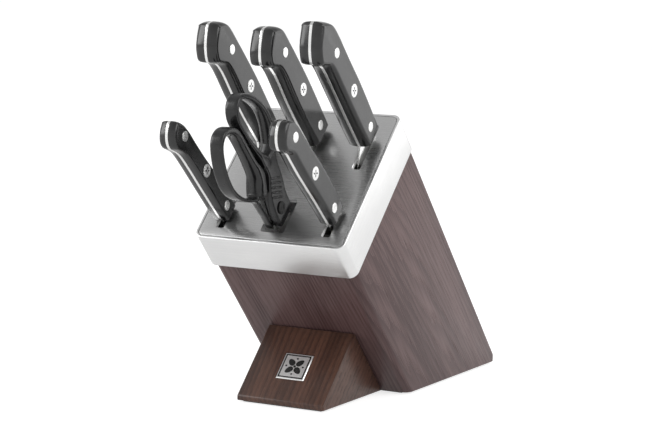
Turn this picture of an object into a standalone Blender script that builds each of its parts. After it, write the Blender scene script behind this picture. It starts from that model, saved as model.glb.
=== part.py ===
"""A leaning wooden knife block with a metal collar, five riveted knives and a pair of kitchen scissors.

World frame: +X to the right, +Y to the back, +Z up, origin in the middle of the block's sole on the table.
Stand frame: the empty "stand" leans back by TILT. In it X is unchanged, Y runs up the top plate from its
front edge (called u below) and Z points along the slots, out of the block (called h below).
"""

import math

import bmesh
import bpy
from mathutils import Vector

MM = 0.001
GAP = 0.3 * MM  # clearance between pieces that touch

# Block and collar
TILT = math.radians(45)
COLLAR_WIDTH = 129.6 * MM
COLLAR_DEPTH = 137.8 * MM
COLLAR_HEIGHT = 35 * MM
COLLAR_WALL = 2.2 * MM
COLLAR_CORNER = 7 * MM
FRONT_EDGE_Z = 131.7 * MM  # height of the collar's front top edge
PLATE_THICK = 3 * MM
SOLE_THICK = 0.8 * MM
SOLE_INSET = 4 * MM
REAR_CUT = 5 * MM  # height of the blunted rear edge
CORNER_STEPS = 6

# Slots
COLUMN_INSET = 18.8 * MM  # from the collar's side to the middle of the outer slots
FRONT_MARGIN = 11 * MM  # from the collar's front to the front row
REAR_MARGIN = 12.6 * MM  # from the back row to the collar's rear
FRONT_SLOT_PLAY = 13.4 * MM  # slot length beyond the row's widest blade
BACK_SLOT_PLAY = 9.7 * MM
SLOT_SIDE_PLAY = 2.3 * MM
SCISSORS_SIDE_PLAY = 1.5 * MM
SCISSORS_ROOM_LENGTH = 52 * MM  # below the plate, for blades that are a little open
TIP_ROOM = 12 * MM  # free depth under a tip

# Foot wedge and badge
FOOT_WIDTH = 77 * MM
FOOT_HEIGHT = 55.8 * MM
TOE_HEIGHT = 5.2 * MM
FOOT_EDGE = 0.8 * MM
BADGE_SIDE = 24.6 * MM
BADGE_UP = 33 * MM  # badge centre above the toe, along the foot's face
BADGE_THICK = 1.2 * MM
BADGE_POCKET = 0.9 * MM

# Knives
TANG_HALF = 1.2 * MM
EDGE_HALF = 0.15 * MM
TIP_HALF = 0.5 * MM
HANDLE_ROUND = 2.2 * MM
WIDEST_ROUND = 0.4  # share of the handle's width that the round may take on each side
RIVET_R = 4 * MM
MEDALLION_R = 5.2 * MM
RIVET_PROUD = 0.25 * MM
ROUND_SIDES = 20
CROWN_START = 104

# Honing cartridges
CARTRIDGE_HALF = 9 * MM
CARTRIDGE_AHEAD = 9 * MM
CARTRIDGE_BEHIND = 7 * MM
CARTRIDGE_HEIGHT = 24 * MM
STONE_R = 2.4 * MM
STONE_LENGTH = 12.5 * MM
STONE_ANGLE = math.radians(15)
STONE_PITCH = 7 * MM
EDGE_CLEARANCE = 0.6 * MM

# Scissors, round the pivot
PIVOT_U = 26 * MM
PIVOT_H = 12 * MM
STEEL_THICK = 2.2 * MM
GRIP_HALF = 5.5 * MM
SHANK_OUTER = 6.5 * MM
PIVOT_R = 3 * MM
PIVOT_HEAD_R = 5 * MM
PIVOT_HEAD_THICK = 1.4 * MM

# Outlines are lists of (p, q) in millimetres: p from the knife's spine line, negative towards the edge,
# and q along the slot, positive towards the butt. The two lists of a handle have one point per station.
LARGE_HANDLE = {
    "half": 9.5 * MM,
    "belly": [(-24, 4), (-24.6, 14), (-26.2, 36), (-26.6, 58), (-26, 78), (-26.2, 88), (-28, 96.5),
              (-32.6, 102.5), (-36, 106.6), (-34.4, 111), (-30.8, 115.6), (-26, 119.6), (-21, 122.6),
              (-17, 124.2)],
    "spine": [(0, 5), (0.3, 14), (0.6, 36), (0.4, 58), (-0.6, 78), (-1.2, 88), (-1.8, 96),
              (-2.2, 100.5), (-2.5, 104.5), (-2.9, 109), (-3.9, 113.6), (-6.2, 117.8), (-10, 121.6),
              (-14.4, 124)],
    "rivets": [(-11.5, 15.5), (-13, 57.5), (-14.5, 99.5)],
}
CHEF_HANDLE = {
    "half": 9.5 * MM,
    "belly": [(-22.4, 4), (-22.9, 12), (-24, 36), (-24.6, 58), (-25.2, 78), (-25.6, 90), (-27.4, 98.5),
              (-32.4, 104.4), (-36.4, 109), (-35.4, 113), (-32.4, 118), (-28.4, 122.6), (-23, 127.4),
              (-17.6, 131.4)],
    "spine": [(0, 5), (0.3, 14), (0.8, 36), (0.6, 58), (-0.4, 78), (-0.8, 90), (-1, 98), (-1.2, 103),
              (-1.5, 107.5), (-2, 112.4), (-3.2, 117.8), (-6, 122.6), (-10, 127.6), (-14, 131.4)],
    "rivets": [(-11.5, 15.5), (-13, 57.5), (-14.5, 99.5)],
}
SMALL_HANDLE = {
    "half": 7.3 * MM,
    "belly": [(-19, 2.6), (-19.8, 12), (-21.7, 31), (-24, 50), (-26, 67), (-27.2, 83), (-28, 92),
              (-31, 98), (-34.4, 103), (-33.4, 108.4), (-30.6, 112.6), (-27, 115.6), (-23.4, 117.2),
              (-20, 117.6)],
    "spine": [(0, 4.6), (0, 12), (-0.6, 31), (-2, 50), (-4.3, 67), (-6.6, 83), (-7.8, 92), (-8.3, 97),
              (-8.8, 101), (-9.6, 105), (-10.8, 108.6), (-12.6, 112), (-14.8, 114.8), (-17.4, 116.6)],
    "rivets": [(-12.2, 15), (-15.6, 58), (-18.8, 101)],
}
PARING_HANDLE = {
    "half": 7.3 * MM,
    "belly": [(-18.6, 2.6), (-20.4, 12), (-22, 31), (-23.4, 50), (-24.6, 67), (-26, 82), (-27.6, 90),
              (-30.6, 96.4), (-33, 101.4), (-32.6, 106.4), (-30, 110.8), (-26.6, 113.9), (-23, 115.7),
              (-20, 116.6)],
    "spine": [(-3, 4.6), (-3.4, 12), (-4.6, 31), (-6.6, 50), (-8.8, 67), (-10.3, 82), (-10.9, 90),
              (-11.2, 95.6), (-11.8, 100), (-12.6, 104.4), (-13.6, 108), (-15, 111.4), (-16.6, 114),
              (-18.4, 116)],
    "rivets": [(-13.2, 15), (-15.5, 58), (-19.3, 100.7)],
}
# "behind" is the free slot behind the spine, "lift" raises a knife in its slot, and "crown" stretches the
# rounded butt above CROWN_START. The blade's edge and back run from the heel to the tip.
KNIVES = {
    "chef": {
        "handle": CHEF_HANDLE, "row": "back", "column": 1, "honed": True,
        "behind": 7.7 * MM, "lift": 4.5 * MM, "crown": 1,
        "edge": [(-36.3, -8), (-36, -45), (-34.3, -90), (-30, -135), (-24, -168), (-17.6, -192)],
        "back": [(0, -8), (0, -45), (-0.6, -90), (-3, -135), (-8, -168), (-15, -192)],
    },
    "bread": {
        "handle": LARGE_HANDLE, "row": "back", "column": 0, "honed": False,
        "behind": 5.2 * MM, "lift": 0, "crown": 1.04,
        "edge": [(-30.4, -4), (-30.4, -50), (-30.2, -100), (-29.6, -150), (-26, -182), (-18.6, -198)],
        "back": [(0, -4), (0, -50), (-0.4, -100), (-2, -150), (-8, -182), (-16, -198)],
    },
    "carving": {
        "handle": LARGE_HANDLE, "row": "back", "column": -1, "honed": True,
        "behind": 5 * MM, "lift": 0.5 * MM, "crown": 1.18,
        "edge": [(-28.4, -4), (-28.4, -50), (-27.6, -100), (-24.6, -150), (-19.6, -180), (-12.6, -199)],
        "back": [(0, -4), (0, -50), (-0.4, -100), (-2, -150), (-5.6, -180), (-10, -199)],
    },
    "utility": {
        "handle": SMALL_HANDLE, "row": "front", "column": 1, "honed": True,
        "behind": 5 * MM, "lift": 1 * MM, "crown": 1,
        "edge": [(-19.6, -6), (-19.2, -40), (-17.6, -75), (-14, -105), (-8.6, -127)],
        "back": [(0, -6), (-0.2, -40), (-0.8, -75), (-3, -105), (-6.4, -127)],
    },
    "paring": {
        "handle": PARING_HANDLE, "row": "front", "column": -1, "honed": True,
        "behind": 8.4 * MM, "lift": -1.4 * MM, "crown": 1,
        "edge": [(-19.4, -6), (-18.8, -32), (-16.4, -60), (-12.6, -82), (-7.6, -98)],
        "back": [(-3.2, -6), (-3.3, -32), (-3.8, -60), (-5, -82), (-6.6, -98)],
    },
}

# Scissors outlines, (p, q) in millimetres from the pivot. The rear half carries the upper ring.
REAR_RING = [(6, 34), (4.2, 52), (1.6, 74), (0.4, 90), (1.6, 98), (6, 104.4), (13, 107), (20, 104.6),
             (28, 96), (34, 84), (37.6, 70), (37, 56), (32.6, 44), (24, 34)]
REAR_HOLE = [(16, 42), (9.8, 58), (6.2, 74), (4.6, 88), (6.4, 97), (11, 102), (17, 101.4), (24, 93),
             (30, 80), (32, 68), (30, 56), (24, 45)]
FRONT_RING = [(-6, 22), (-18, 28), (-28, 38), (-35.6, 50), (-39.4, 62), (-39, 74), (-36, 85), (-31, 95),
              (-25.6, 101.6), (-19, 104), (-11, 101.6), (-4, 94), (-1.2, 84), (-0.4, 70), (0.2, 54), (2, 36)]
FRONT_HOLE = [(-16, 31), (-25, 39), (-31.4, 50), (-34.8, 62), (-34, 76), (-30.4, 88), (-25.6, 96),
              (-19, 98.6), (-12, 95), (-7.6, 86), (-6.8, 72), (-6.8, 54), (-8.6, 40)]
REAR_SHANK = [(-6, -7), (-8, 4), (-4, 18), (4, 30), (7, 42), (24, 42), (21, 30), (18.4, 16), (14, 4), (8, -7)]
FRONT_SHANK = [(-9, -7), (-11, 6), (-14, 20), (-16, 30), (-2, 44), (1.6, 30), (6, 16), (8, 4), (5, -7)]
REAR_STEEL = [(9, 38), (18.6, 38), (16.6, 16), (13, 2), (11.6, -18), (8, -60), (-1.4, -97), (-3.4, -97),
              (-2.6, -60), (-7, -18), (-8, 0), (-2, 18)]
FRONT_STEEL = [(-3, 40), (-11, 30), (-12, 16), (-11, 0), (-9.6, -18), (-7, -60), (-1.6, -97), (0.6, -97),
               (4, -60), (7.6, -18), (7, 0), (2, 18)]

COLOURS = {
    "wood": ((0.105, 0.058, 0.042), 0.45, 0.0),
    "collar": ((0.83, 0.83, 0.82), 0.28, 1.0),
    "plate": ((0.25, 0.25, 0.25), 0.42, 0.6),
    "steel": ((0.80, 0.80, 0.79), 0.22, 1.0),
    "scale": ((0.030, 0.030, 0.031), 0.42, 0.0),
    "grip": ((0.040, 0.040, 0.041), 0.55, 0.0),
    "rivet": ((0.86, 0.86, 0.85), 0.25, 1.0),
    "cartridge": ((0.02, 0.02, 0.02), 0.60, 0.0),
    "stone": ((0.80, 0.76, 0.68), 0.85, 0.0),
    "rubber": ((0.03, 0.03, 0.03), 0.90, 0.0),
}

# The body sits inside the collar; its base stands on the sole, a gap apart.
BODY_INSET = COLLAR_WALL + 2 * GAP
BODY_HALF = COLLAR_WIDTH / 2 - BODY_INSET
BODY_FRONT = BODY_INSET
BODY_REAR = COLLAR_DEPTH - BODY_INSET
BASE_Z = SOLE_THICK + GAP
COLUMN_PITCH = COLLAR_WIDTH / 2 - COLUMN_INSET
KNIFE_SLOT_WIDTH = 2 * (TANG_HALF + SLOT_SIDE_PLAY)
SCISSORS_SLOT_WIDTH = 2 * (SHANK_OUTER + GAP + PIVOT_HEAD_THICK + SCISSORS_SIDE_PLAY)


def slot_length(row):
    widths = [back[0] - edge[0] for knife in KNIVES.values() if knife["row"] == row
              for edge, back in zip(knife["edge"], knife["back"])]
    return max(widths) * MM + (FRONT_SLOT_PLAY if row == "front" else BACK_SLOT_PLAY)


def slot_start(row):
    return FRONT_MARGIN if row == "front" else COLLAR_DEPTH - REAR_MARGIN - slot_length(row)


def spine_u(knife):
    return slot_start(knife["row"]) + slot_length(knife["row"]) - knife["behind"]


def axis_height(u, z):
    """h of the point above u that lies at the world height z."""
    return (z - FRONT_EDGE_Z - u * math.sin(TILT)) / math.cos(TILT)


def world_y(u, h):
    """World y of a point of the stand frame, before the sole is centred on the origin."""
    return u * math.cos(TILT) - h * math.sin(TILT)


BASE_FRONT_Y = world_y(BODY_FRONT, axis_height(BODY_FRONT, BASE_Z))
BASE_REAR_Y = world_y(BODY_REAR, axis_height(BODY_REAR, BASE_Z + REAR_CUT))
STAND_Y = -(BASE_FRONT_Y + BASE_REAR_Y) / 2


def material(slot):
    found = bpy.data.materials.get(slot)
    if found:
        return found
    colour, roughness, metallic = COLOURS[slot]
    made = bpy.data.materials.new(slot)
    made.use_nodes = True
    shader = made.node_tree.nodes["Principled BSDF"]
    shader.inputs["Base Color"].default_value = (*colour, 1)
    shader.inputs["Roughness"].default_value = roughness
    shader.inputs["Metallic"].default_value = metallic
    made.diffuse_color = (*colour, 1)
    return made


def empty(name, parent=None, location=(0, 0, 0), tilt=0):
    made = bpy.data.objects.new(name, None)
    bpy.context.scene.collection.objects.link(made)
    made.parent = parent
    made.location = location
    made.rotation_euler = (tilt, 0, 0)
    return made


def solid(name, slot, bm, parent=None, location=(0, 0, 0)):
    """Turns a bmesh into a named object of one material."""
    bmesh.ops.recalc_face_normals(bm, faces=bm.faces[:])
    mesh = bpy.data.meshes.new(name)
    bm.to_mesh(mesh)
    bm.free()
    made = bpy.data.objects.new(name, mesh)
    bpy.context.scene.collection.objects.link(made)
    made.parent = parent
    made.location = location
    if slot:
        mesh.materials.append(material(slot))
        mesh.shade_smooth()
        mesh.set_sharp_from_angle(angle=math.radians(35))
    else:
        made.hide_render = True
        made.display_type = "WIRE"
    return made


def cut(target, cutter, operation="DIFFERENCE"):
    made = target.modifiers.new(cutter.name, "BOOLEAN")
    made.operation = operation
    made.object = cutter
    made.solver = "EXACT"


def loft(rings):
    """A closed body through rings of the same number of points, with flat end caps."""
    bm = bmesh.new()
    rows = [[bm.verts.new(point) for point in ring] for ring in rings]
    for low, high in zip(rows, rows[1:]):
        for i in range(len(low)):
            j = (i + 1) % len(low)
            bm.faces.new((low[i], low[j], high[j], high[i]))
    bm.faces.new(rows[0])
    bm.faces.new(rows[-1])
    return bm


def prism_x(outline, x_low, x_high):
    """An outline of (u, h) points, extruded along X."""
    return loft([[(x, u, h) for u, h in outline] for x in (x_low, x_high)])


def box(x_range, u_range, h_range):
    corners = [(u_range[0], h_range[0]), (u_range[1], h_range[0]),
               (u_range[1], h_range[1]), (u_range[0], h_range[1])]
    return prism_x(corners, *x_range)


def round_rod(start, end, radius, sides=ROUND_SIDES):
    """A cylinder between two points."""
    start, end = Vector(start), Vector(end)
    turn = (end - start).to_track_quat("Z", "Y")
    rings = []
    for centre in (start, end):
        rings.append([
            centre + turn @ Vector((radius * math.cos(a), radius * math.sin(a), 0))
            for a in (2 * math.pi * k / sides for k in range(sides))
        ])
    return loft(rings)


def rounded_rectangle(x_half, u_low, u_high, radius, steps=CORNER_STEPS):
    """(x, u) points of a rectangle with round corners, anticlockwise."""
    centres = [(x_half - radius, u_high - radius), (radius - x_half, u_high - radius),
               (radius - x_half, u_low + radius), (x_half - radius, u_low + radius)]
    return [
        (x + radius * math.cos(a), u + radius * math.sin(a))
        for k, (x, u) in enumerate(centres)
        for a in (math.pi / 2 * (k + step / steps) for step in range(steps + 1))
    ]


def smooth_curve(points, per_span):
    """Points of a Catmull-Rom curve through the given ones, ends included."""
    padded = [points[0], *points, points[-1]]
    found = []
    for a, b, c, d in zip(padded, padded[1:], padded[2:], padded[3:]):
        for k in range(per_span):
            t = k / per_span
            found.append(tuple(
                0.5 * (2 * b[i] + (c[i] - a[i]) * t + (2 * a[i] - 5 * b[i] + 4 * c[i] - d[i]) * t * t
                       + (3 * b[i] - a[i] - 3 * c[i] + d[i]) * t ** 3)
                for i in range(len(b))
            ))
    return [*found, tuple(points[-1])]


def smooth_loop(points, per_span=2):
    """Points of a closed Catmull-Rom curve."""
    wrapped = smooth_curve([points[-1], *points, points[0]], per_span)
    return wrapped[per_span:-per_span - 1] + wrapped[-per_span - 1:-per_span]


def in_mm(points):
    return [tuple(value * MM for value in point) for point in points]


def slot_cutters(stand):
    """Hidden boxes that cut the six mouths through the plate and the channels below it."""
    made = {"plate": [], "boards": []}

    def add(kind, name, x_mid, width, u_low, length, depth):
        reach = COLLAR_HEIGHT if kind == "plate" else -PLATE_THICK
        bm = box((x_mid - width / 2, x_mid + width / 2), (u_low, u_low + length), (-depth, reach))
        made[kind].append(solid(f"cut_{kind}_{name}", None, bm, stand))

    for name, knife in KNIVES.items():
        u_low, length = slot_start(knife["row"]), slot_length(knife["row"])
        x_mid = knife["column"] * COLUMN_PITCH
        depth = TIP_ROOM - knife["edge"][-1][1] * MM - knife["lift"]
        add("plate", name, x_mid, KNIFE_SLOT_WIDTH, u_low, length, 2 * PLATE_THICK)
        add("boards", name, x_mid, KNIFE_SLOT_WIDTH, u_low, length, depth)
    u_low, length = slot_start("front"), slot_length("front")
    depth = TIP_ROOM - min(q for _, q in REAR_STEEL) * MM - PIVOT_H
    add("plate", "scissors", 0, SCISSORS_SLOT_WIDTH, u_low, length, 2 * PLATE_THICK)
    add("boards", "scissors", 0, SCISSORS_SLOT_WIDTH, u_low, SCISSORS_ROOM_LENGTH, depth)
    return made


def plane_cut(bm, point, normal):
    """Removes what lies beyond a plane and closes the cut."""
    everything = bm.verts[:] + bm.edges[:] + bm.faces[:]
    found = bmesh.ops.bisect_plane(bm, geom=everything, plane_co=point, plane_no=normal, clear_outer=True)
    rim = [g for g in found["geom_cut"] if isinstance(g, bmesh.types.BMEdge)]
    bmesh.ops.edgenet_fill(bm, edges=rim)


def board(name, outline, stand, cutters):
    """A glued-up slab of the body: (x, u) outline, top under the plate and base level with the table."""
    top = -PLATE_THICK - GAP
    bm = loft([[(x, u, axis_height(u, BASE_Z)) for x, u in outline], [(x, u, top) for x, u in outline]])
    rear = Vector((0, BODY_REAR, axis_height(BODY_REAR, BASE_Z + REAR_CUT)))
    plane_cut(bm, rear, Vector((0, math.cos(TILT), -math.sin(TILT))))
    made = solid(name, "wood", bm, stand)
    for cutter in cutters:
        cut(made, cutter)
    return made


def build_body(stand, cutters, pockets):
    """Four slabs side by side. The slots are routed into the faces where two slabs meet."""
    outer = rounded_rectangle(BODY_HALF, BODY_FRONT, BODY_REAR, COLLAR_CORNER - COLLAR_WALL)
    joint = COLUMN_PITCH - KNIFE_SLOT_WIDTH / 2
    for side, hand in (("left", -1), ("right", 1)):
        arc = [(hand * abs(x), u) for x, u in outer if x > joint]
        rim = [(hand * (joint + GAP / 2), BODY_FRONT), *sorted(arc, key=lambda p: p[1]),
               (hand * (joint + GAP / 2), BODY_REAR)]
        board(f"{side}_side_board", rim, stand, cutters["boards"] + pockets)
        middle = [(hand * GAP / 2, BODY_FRONT), (hand * (joint - GAP / 2), BODY_FRONT),
                  (hand * (joint - GAP / 2), BODY_REAR), (hand * GAP / 2, BODY_REAR)]
        board(f"{side}_middle_board", middle, stand, cutters["boards"] + pockets)


def build_collar(stand, cutters):
    """The metal collar round the top of the body, and the slotted plate inside it."""
    outline = rounded_rectangle(COLLAR_WIDTH / 2, 0, COLLAR_DEPTH, COLLAR_CORNER)
    bm = loft([[(x, u, h) for x, u in outline] for h in (-COLLAR_HEIGHT, 0)])
    collar = solid("collar", "collar", bm, stand)
    inner = rounded_rectangle(COLLAR_WIDTH / 2 - COLLAR_WALL, COLLAR_WALL, COLLAR_DEPTH - COLLAR_WALL,
                              COLLAR_CORNER - COLLAR_WALL)
    bm = loft([[(x, u, h) for x, u in inner] for h in (-2 * COLLAR_HEIGHT, COLLAR_HEIGHT)])
    cut(collar, solid("cut_collar_inside", None, bm, stand))

    edge = COLLAR_WALL + GAP
    corner = COLLAR_CORNER - COLLAR_WALL
    outline = rounded_rectangle(COLLAR_WIDTH / 2 - edge, edge, COLLAR_DEPTH - edge, corner)
    bm = loft([[(x, u, h) for x, u in outline] for h in (-PLATE_THICK, 0)])
    plate = solid("top_plate", "plate", bm, stand)
    for cutter in cutters["plate"]:
        cut(plate, cutter)


def build_foot(stand):
    """The wedge under the overhang, with a pocket for the badge in its sloping face."""
    across, along = math.cos(TILT), math.sin(TILT)
    top_u = BODY_FRONT - GAP
    top_y = world_y(top_u, axis_height(top_u, FOOT_HEIGHT))
    toe_y = top_y - (FOOT_HEIGHT - TOE_HEIGHT) * across / along
    heel_y = world_y(top_u, axis_height(top_u, BASE_Z))
    outline = [(toe_y, BASE_Z), (heel_y, BASE_Z), (top_y, FOOT_HEIGHT), (toe_y, TOE_HEIGHT)]
    half = FOOT_WIDTH / 2
    bm = prism_x([(y + STAND_Y, z) for y, z in outline], -half, half)
    foot = solid("foot_wedge", "wood", bm)
    bevel = foot.modifiers.new("edges", "BEVEL")
    bevel.width = FOOT_EDGE
    bevel.segments = 3
    bevel.limit_method = "ANGLE"
    bevel.angle_limit = math.radians(60)

    spot = (0, toe_y + STAND_Y + BADGE_UP * across, TOE_HEIGHT + BADGE_UP * along)
    face = empty("foot_face", location=spot, tilt=TILT)
    pocket = BADGE_SIDE / 2 + GAP
    room = box((-pocket, pocket), (-pocket, pocket), (-BADGE_POCKET - GAP, BADGE_SIDE))
    cut(foot, solid("cut_badge_pocket", None, room, face))
    side = BADGE_SIDE / 2
    low = -BADGE_POCKET
    bm = box((-side, side), (-side, side), (low, low + BADGE_THICK))
    solid("badge_plate", "collar", bm, face)
    return toe_y + STAND_Y, heel_y + STAND_Y


def build_soles(toe_y, heel_y):
    """Thin rubber soles under the body and under the foot."""
    reach = (BASE_REAR_Y - BASE_FRONT_Y) / 2 - SOLE_INSET
    half = BODY_HALF - 2 * SOLE_INSET
    solid("body_sole", "rubber", box((-half, half), (-reach, reach), (0, SOLE_THICK)))
    half = FOOT_WIDTH / 2 - SOLE_INSET
    low, high = toe_y + SOLE_INSET, heel_y - SOLE_INSET
    solid("foot_sole", "rubber", box((-half, half), (low, high), (0, SOLE_THICK)))


def handle_sections(knife):
    """(belly p, belly q, spine p, spine q) stations of the handle, blade to butt, in millimetres."""
    def crowned(q):
        return q + max(0, q - CROWN_START) * (knife["crown"] - 1)

    handle = knife["handle"]
    stations = smooth_curve([(*b, *s) for b, s in zip(handle["belly"], handle["spine"])], 2)
    return [(belly_p, crowned(belly_q), spine_p, crowned(spine_q))
            for belly_p, belly_q, spine_p, spine_q in stations]


def knife_sections(knife):
    """(belly, spine, belly half, spine half) stations from the butt to the blade's tip, in metres."""
    pairs = handle_sections(knife)[::-1]
    blade = smooth_curve([(*e, *s) for e, s in zip(knife["edge"], knife["back"])], 2)
    stations = [(*in_mm([pair[:2], pair[2:]]), TANG_HALF, TANG_HALF) for pair in pairs]
    for k, pair in enumerate(blade):
        share = (k / (len(blade) - 1)) ** 2
        spine_half = TANG_HALF + (TIP_HALF - TANG_HALF) * share
        stations.append((*in_mm([pair[:2], pair[2:]]), EDGE_HALF, spine_half))
    return stations


def build_knife(name, knife, stand):
    """One full-tang knife: a forged blade and tang, two scales and three pins through them."""
    holder = empty(f"{name}_knife", stand, (knife["column"] * COLUMN_PITCH, spine_u(knife), knife["lift"]))
    rings = []
    for belly, spine, belly_half, spine_half in knife_sections(knife):
        rings.append([(-belly_half, *belly), (belly_half, *belly),
                      (spine_half, *spine), (-spine_half, *spine)])
    blade = solid(f"{name}_knife_blade", "steel", loft(rings), holder)

    handle = knife["handle"]
    pairs = handle_sections(knife)
    scales = []
    for side, hand in (("left", -1), ("right", 1)):
        inner, outer = hand * (TANG_HALF + GAP), hand * handle["half"]
        rings = []
        for pair in pairs:
            belly, spine = (Vector(point) for point in in_mm([pair[:2], pair[2:]]))
            width = (spine - belly).length
            step = (spine - belly) / width * min(HANDLE_ROUND, WIDEST_ROUND * width)
            shoulder = outer - hand * HANDLE_ROUND
            rings.append([(inner, *belly), (shoulder, *belly), (outer, *(belly + step)),
                          (outer, *(spine - step)), (shoulder, *spine), (inner, *spine)])
        scales.append(solid(f"{name}_knife_{side}_scale", "scale", loft(rings), holder))

    reach = handle["half"] + RIVET_PROUD
    for spot, (p, q) in zip(("front", "middle", "rear"), in_mm(handle["rivets"])):
        radius = MEDALLION_R if spot == "middle" else RIVET_R
        bm = round_rod((-reach, p, q), (reach, p, q), radius)
        solid(f"{name}_knife_{spot}_rivet", "rivet", bm, holder)
        bm = round_rod((-2 * reach, p, q), (2 * reach, p, q), radius + GAP)
        hole = solid(f"cut_{name}_{spot}_rivet", None, bm, holder)
        for piece in (blade, *scales):
            cut(piece, hole)


def blade_edge_u(knife):
    return spine_u(knife) + knife["edge"][0][0] * MM


def cartridge_box(knife, gap):
    """x, u and h ranges of a knife's honing cartridge, grown by gap."""
    x_mid, edge = knife["column"] * COLUMN_PITCH, blade_edge_u(knife)
    top = -PLATE_THICK - 2 * GAP
    return ((x_mid - CARTRIDGE_HALF - gap, x_mid + CARTRIDGE_HALF + gap),
            (edge - CARTRIDGE_AHEAD - gap, edge + CARTRIDGE_BEHIND + gap),
            (top - CARTRIDGE_HEIGHT - gap, top + (3 * PLATE_THICK if gap else 0)))


def build_cartridge(name, knife, stand):
    """A plastic carrier under the plate with two crossed ceramic rods ahead of the blade's edge."""
    x_mid, edge = knife["column"] * COLUMN_PITCH, blade_edge_u(knife)
    carrier = solid(f"{name}_honing_carrier", "cartridge", box(*cartridge_box(knife, 0)), stand)
    half = KNIFE_SLOT_WIDTH / 2
    way = box((x_mid - half, x_mid + half), (edge - half, edge + 3 * CARTRIDGE_BEHIND),
              (-3 * CARTRIDGE_HEIGHT, CARTRIDGE_HEIGHT))
    cut(carrier, solid(f"cut_{name}_honing_way", None, way, stand))
    apex = edge - EDGE_CLEARANCE
    middle = -PLATE_THICK - CARTRIDGE_HEIGHT / 2
    for side, hand in (("left", -1), ("right", 1)):
        h = middle + hand * STONE_PITCH / 2
        along = Vector((hand * math.sin(STONE_ANGLE), math.cos(STONE_ANGLE), 0))
        aside = Vector((hand * math.cos(STONE_ANGLE), -math.sin(STONE_ANGLE), 0)) * STONE_R
        start = Vector((x_mid, apex, h)) + aside - along * STONE_LENGTH / 2
        end = start + along * STONE_LENGTH
        solid(f"{name}_honing_{side}_rod", "stone", round_rod(start, end, STONE_R), stand)
        bm = round_rod(start - along * GAP, end + along * GAP, STONE_R + GAP)
        cut(carrier, solid(f"cut_{name}_{side}_rod", None, bm, stand))


def grown(outline, by):
    """The outline moved outwards by a distance."""
    turn = sum(a[0] * b[1] - b[0] * a[1] for a, b in zip(outline, outline[1:] + outline[:1]))
    found = []
    for before, point, after in zip([outline[-1], *outline], outline, [*outline[1:], outline[0]]):
        along = (Vector(after) - Vector(before)).normalized()
        aside = Vector((along.y, -along.x)) * math.copysign(by, turn)
        found.append(tuple(Vector(point) + aside))
    return found


def build_scissors_half(side, hand, ring, hole, shank, steel, parent):
    """One half: a steel blade beside the middle plane, and a ring whose shank holds the blade's tang."""
    near, far = hand * GAP / 2, hand * (GAP / 2 + STEEL_THICK)
    low, high = sorted((near, far))
    tang = smooth_loop(in_mm(steel))
    blade = solid(f"scissors_{side}_blade", "steel", prism_x(tang, low, high), parent)
    low, high = sorted((far + hand * GAP, hand * SHANK_OUTER))
    grip = solid(f"scissors_{side}_grip", "grip", prism_x(in_mm(shank), low, high), parent)
    bm = prism_x(smooth_loop(in_mm(ring)), -GRIP_HALF, GRIP_HALF)
    loop = solid(f"cut_{side}_ring", None, bm, parent)
    cut(grip, loop, "UNION")
    opening = smooth_loop(in_mm(hole))
    cut(grip, solid(f"cut_{side}_hole", None, prism_x(opening, -2 * GRIP_HALF, 2 * GRIP_HALF), parent))
    low, high = sorted((near - hand * GAP, far + hand * GAP))
    cut(grip, solid(f"cut_{side}_tang", None, prism_x(grown(tang, GAP), low, high), parent))
    return blade, grip


def build_scissors(stand):
    holder = empty("scissors", stand, (0, PIVOT_U, PIVOT_H))
    pieces = [
        *build_scissors_half("rear", 1, REAR_RING, REAR_HOLE, REAR_SHANK, REAR_STEEL, holder),
        *build_scissors_half("front", -1, FRONT_RING, FRONT_HOLE, FRONT_SHANK, FRONT_STEEL, holder),
    ]
    reach = SHANK_OUTER + GAP
    bore = solid("cut_pivot", None, round_rod((-3 * reach, 0, 0), (3 * reach, 0, 0), PIVOT_R + GAP), holder)
    for piece in pieces:
        cut(piece, bore)
    head = SHANK_OUTER + GAP
    bm = round_rod((-head, 0, 0), (head + GAP, 0, 0), PIVOT_R)
    screw = solid("scissors_pivot_screw", "rivet", bm, holder)
    bm = round_rod((head, 0, 0), (head + PIVOT_HEAD_THICK, 0, 0), PIVOT_HEAD_R)
    cut(screw, solid("cut_pivot_head", None, bm, holder), "UNION")
    bm = round_rod((-head - GAP - PIVOT_HEAD_THICK, 0, 0), (-head - GAP, 0, 0), PIVOT_HEAD_R)
    solid("scissors_pivot_nut", "rivet", bm, holder)


def main():
    for thing in list(bpy.data.objects):
        bpy.data.objects.remove(thing)
    stand = empty("stand", location=(0, STAND_Y, FRONT_EDGE_Z), tilt=TILT)
    cutters = slot_cutters(stand)
    honed = {name: knife for name, knife in KNIVES.items() if knife["honed"]}
    pockets = [
        solid(f"cut_{name}_pocket", None, box(*cartridge_box(knife, GAP)), stand)
        for name, knife in honed.items()
    ]
    build_body(stand, cutters, pockets)
    build_collar(stand, cutters)
    build_soles(*build_foot(stand))
    for name, knife in KNIVES.items():
        build_knife(name, knife, stand)
    for name, knife in honed.items():
        build_cartridge(name, knife, stand)
    build_scissors(stand)


main()
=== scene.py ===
import math

import bmesh
import bpy
from mathutils import Matrix, Vector


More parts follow.
